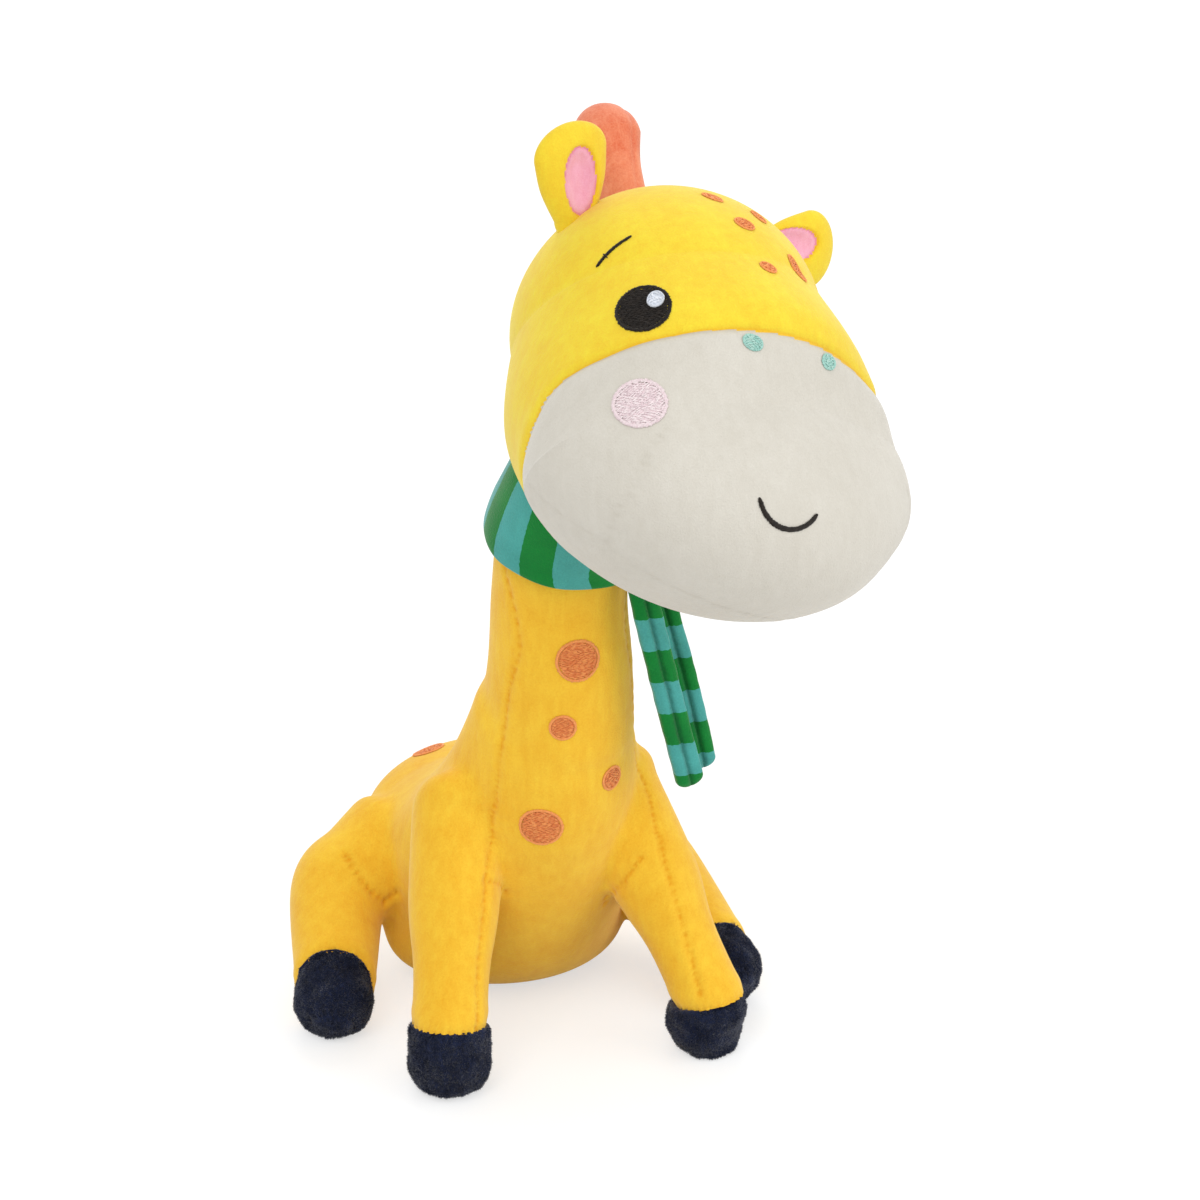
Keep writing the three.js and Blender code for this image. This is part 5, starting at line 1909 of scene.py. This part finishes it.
@dataclass
class Scarf:
    """The striped scarf: a folded band round the neck, and two folded tails."""

    toy: ToyFrame
    dresser: Dresser
    body: Body
    collar_thick: float = 3.4
    collar_height: float = 22
    collar_from: float = 0.685
    tail_length: float = 66
    tail_width: float = 8.2
    tail_thick: float = 4.5
    collar_flare: float = 0.9
    collar_gap: float = 0.9
    hem_round: float = 0.45
    tail_gap: float = 1.05
    stripes_round: int = 7
    stripes_from: float = 0.73
    stripes_lean_degrees: float = 19
    stripe_pair: float = 20.2

    def __post_init__(self) -> None:
        """Prepares the neck's rings."""
        self.rings = self.body.neck_table()[1:-1]
        self.last = len(self.rings) - 1
        self.reach = np.linalg.norm(np.diff(self.rings[:, :3], axis=0), axis=1).sum()

    def collar_point(self, at: float, angle: float, off: float) -> np.ndarray:
        """A point of the band.

        Args:
            at: how far along the neck's rings.
            angle: the angle round it.
            off: how far off the neck.

        Returns:
            The point.
        """
        ring, before, after = smooth_rows(self.rings, np.array([at, at - 0.05, at + 0.05]))
        along = unit((after - before)[:3])
        wide = unit(LEFTWARD - along * (LEFTWARD @ along))
        deep = np.cross(wide, along)
        return ring[:3] + wide * (ring[3] + off) * math.cos(angle) + deep * (ring[4] + off) * math.sin(angle)

    def build(self) -> None:
        """Makes the collar and its tails."""
        self.collar()
        front = (
            (0, 0, 0.06), (0, 0, 0), (0.03, -0.015, -0.167), (0.135, -0.015, -0.6), (0.225, -0.015, -0.96),
            (0.232, -0.015, -1),
        )
        side = (
            (-0.03, -0.02, 0.06), (-0.03, -0.02, 0), (0.03, -0.05, -0.24), (0.12, -0.075, -0.6),
            (0.2, -0.09, -0.96), (0.205, -0.09, -1),
        )
        self.tail("scarf_tail_front", 50, front, 13.1)
        self.tail("scarf_tail_side", 20, side, 6.2)

    def collar(self) -> None:
        """The band: doubled cloth with a rolled hem and soft folds."""
        start = self.collar_from * self.last
        span = self.collar_height / self.reach * self.last
        around, across = 240, 40
        points, stripes = [], []
        for j in range(around):
            angle = 2 * math.pi * j / around
            sag = 0.5 * math.sin(angle * 3 + 0.7) + 0.35 * math.sin(angle * 7)
            for k in range(across):
                turn = 2 * math.pi * (k + 0.5) / across
                c, s = math.cos(turn), math.sin(turn)
                squared = [math.copysign(abs(v) ** self.hem_round, v) for v in (c, s)]
                at = start + span * (1 + squared[0]) / 2
                flare = self.collar_flare * max(0.0, -squared[0]) ** 2
                off = self.collar_gap + (self.collar_thick - 0.1) * (1 + squared[1]) / 2 + flare + 0.25 * sag
                points.append(self.collar_point(at - 0.02 * sag, angle, off))
                lean = math.radians(self.stripes_lean_degrees) * ((1 + squared[0]) / 2 - 0.15)
                pairs = (angle - lean) / (2 * math.pi) * self.stripes_round + self.stripes_from
                stripes.append(pairs * self.stripe_pair)
        faces = []
        for j in range(around):
            for k in range(across):
                a, b = j * across + k, j * across + (k + 1) % across
                c, d = ((j + 1) % around) * across + (k + 1) % across, ((j + 1) % around) * across + k
                faces.append((a, d, c, b))
        form = Form(np.array(points), faces)
        piece = self.striped(form, "scarf_collar_cloth", np.array(stripes), np.zeros(len(points)))
        self.dresser.dress(piece, Finish.SCARF, ["scarf_collar"], 0.35)
        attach(piece, "trunk")

    def tail(self, name: str, around: float, path: Sequence[tuple[float, float, float]], first: float) -> None:
        """One tail: a strip folded in three, sewn down its folds.

        Args:
            name: the CAD node that it stands for.
            around: where on the collar it hangs, in degrees from the left side to the front.
            path: its path as shares of its length.
            first: where its stripes start.
        """
        off = self.collar_thick + self.tail_gap + self.tail_thick / 2
        root = self.collar_point(self.collar_from * self.last, math.radians(around), off)
        rows = []
        for i, way in enumerate(path):
            full = 1 if 0 < i < len(path) - 1 else 0
            half = (self.tail_width / 2, self.tail_thick / 2, self.tail_thick / 2)
            rows.append((*(root + np.array(way) * self.tail_length), *[full * h for h in half]))

        def folded(angle: np.ndarray) -> np.ndarray:
            """The section: two rolls with a fold between them, squared at the edges.

            Args:
                angle: the angles round it.

            Returns:
                How far out each angle lies.
            """
            c, s = np.abs(np.cos(angle)), np.abs(np.sin(angle))
            square = 1 / (c**3.2 + s**3.2) ** (1 / 3.2)
            return square * (1 - 0.42 * np.exp(-((c / 0.2) ** 2)))

        form = stuffed_form(rows, 72, 22, LEFTWARD, folded)
        wave = np.array([noise(Vector(p * 0.22)) for p in form.points])
        form.points += form.normals() * (0.22 * wave)[:, None]
        line = smooth_rows(np.array(rows)[:, :3], np.linspace(0, len(rows) - 1, 80))
        apart = np.linalg.norm(form.points[:, None] - line[None], axis=2)
        way = apart.argmin(1) / 79 * np.linalg.norm(np.diff(line, axis=0), axis=1).sum()
        aside = np.abs((form.points - line[apart.argmin(1)]) @ LEFTWARD)
        mark = np.exp(-((aside / 0.7) ** 2)) * 0.8
        piece = self.striped(form, name + "_cloth", form.points[:, 2] * -1 + 200 + first, mark)
        self.dresser.dress(piece, Finish.SCARF, [name], 0.35)
        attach(piece, name)

    def striped(self, form: Form, name: str, stripes: np.ndarray, mark: np.ndarray) -> bpy.types.Object:
        """Makes a piece that holds its stripes and seam marks.

        Args:
            form: its form.
            name: its name.
            stripes: how far along the stripes each point lies, in millimetres.
            mark: each point's nearness to a seam.

        Returns:
            The piece.
        """
        piece = form.piece(self.toy, name)
        piece.data.attributes.new("stripe_way", "FLOAT", "POINT").data.foreach_set("value", stripes)
        piece.data.attributes.new("seam", "FLOAT", "POINT").data.foreach_set("value", mark)
        return piece


# ---- Stage


@dataclass
class Studio:
    """A pale floor, soft light and a camera at the photograph's angle."""

    toy: ToyFrame
    azimuth: float = -18
    elevation: float = 24
    distance: float = 1300
    pixel_mm: float = 0.286
    pixels: float = 1200
    sensor_mm: float = 36
    target: tuple[float, float, float] = (0, 30, 140)
    origin_pixel: tuple[float, float] = (577.5, 1065)
    soft_light: float = 0.74

    def build(self) -> None:
        """Sets the stage."""
        self.floor()
        self.camera()
        self.lights()
        self.world()
        bpy.context.scene.view_settings.view_transform = "Standard"

    def floor(self) -> None:
        """A large pale floor that keeps a soft shadow."""
        bpy.ops.object.select_all(action="DESELECT")
        bpy.ops.mesh.primitive_plane_add(size=8, location=(0, 0, -0.0002))
        floor = bpy.context.object
        floor.name = "floor"
        shader = Shader(bpy.data.materials.new("floor"))
        plain = shader.add("ShaderNodeBsdfDiffuse", {}, {"Color": (0.8, 0.8, 0.8, 1)})
        pale = shader.add("ShaderNodeBsdfDiffuse", {}, {"Color": (0.45, 0.45, 0.45, 1)})
        glow = shader.add("ShaderNodeEmission", {}, {"Color": (1, 1, 1, 1), "Strength": 0.62})
        white = shader.add("ShaderNodeAddShader", {}, {0: pale, 1: glow})
        surface = shader.add("ShaderNodeMixShader", {}, {0: shader.seen(), 1: plain, 2: white})
        shader.close(surface, "ShaderNodeOutputMaterial")
        floor.data.materials.append(shader.owner)

    def camera(self) -> None:
        """The camera, shifted so that the toy lies where it does in the photograph."""
        a, e = math.radians(self.azimuth), math.radians(self.elevation)
        back = np.array([math.sin(a) * math.cos(e), -math.cos(a) * math.cos(e), math.sin(e)])
        right = np.array([math.cos(a), math.sin(a), 0.0])
        up = np.cross(back, right)
        eye = np.array(self.target) + back * self.distance
        scale = self.distance / self.pixel_mm
        off = -eye
        deep = -(off @ back)
        middle = self.pixels / 2
        raw = (middle + scale * (off @ right) / deep, middle - scale * (off @ up) / deep)
        data = bpy.data.cameras.new("camera")
        data.lens, data.sensor_width = scale / self.pixels * self.sensor_mm, self.sensor_mm
        data.shift_x = (raw[0] - self.origin_pixel[0]) / self.pixels
        data.shift_y = (self.origin_pixel[1] - raw[1]) / self.pixels
        data.clip_end = 20
        camera = bpy.data.objects.new("camera", data)
        bpy.context.collection.objects.link(camera)
        axes = Matrix((right, up, back)).transposed().to_4x4()
        axes.translation = Vector(self.toy.metres(eye))
        camera.matrix_world = axes
        bpy.context.scene.camera = camera

    def lights(self) -> None:
        """A large soft key from the upper front left, a fill from the right and a rim from behind."""
        for name, place, size, power in (
            ("key", (-0.75, -1.05, 1.5), 1.1, 11),
            ("fill", (1.2, -0.8, 0.6), 1.2, 7),
            ("rim", (0.3, 1.2, 1.3), 1.0, 7),
        ):
            data = bpy.data.lights.new(name, "AREA")
            data.size, data.energy = size, power
            lamp = bpy.data.objects.new(name, data)
            bpy.context.collection.objects.link(lamp)
            lamp.location = place
            lamp.rotation_euler = (Vector((0, 0, 0.14)) - Vector(place)).to_track_quat("-Z", "Y").to_euler()

    def world(self) -> None:
        """White round the object, and an even soft light on it."""
        world = bpy.data.worlds.new("world")
        bpy.context.scene.world = world
        shader = Shader(world)
        soft, bright = (
            shader.add("ShaderNodeBackground", {}, {"Color": (1, 1, 1, 1), "Strength": strength})
            for strength in (self.soft_light, 1.0)
        )
        surface = shader.add("ShaderNodeMixShader", {}, {0: shader.seen(), 1: soft, 2: bright})
        shader.close(surface, "ShaderNodeOutputWorld")


def main() -> None:
    """Builds the toy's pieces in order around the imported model."""
    logging.basicConfig(level=logging.INFO, format="%(message)s")
    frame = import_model()
    toy = ToyFrame.from_joint(frame["record"], "foreleg_right_seam", (-27, 30, 73))
    dresser = Dresser()
    Studio(toy).build()
    body = Body(toy, dresser)
    skin, limbs = body.build()
    Hooves(toy, dresser, limbs, body).build()
    head = Head(toy, dresser)
    head.build()
    sewer = Embroiderer(toy, dresser)
    Face(head, sewer).build()
    BodySpots(body, sewer).build(skin)
    Trimmings(toy, dresser, head).build()
    Scarf(toy, dresser, body).build()


if __name__ == "__main__":
    main()
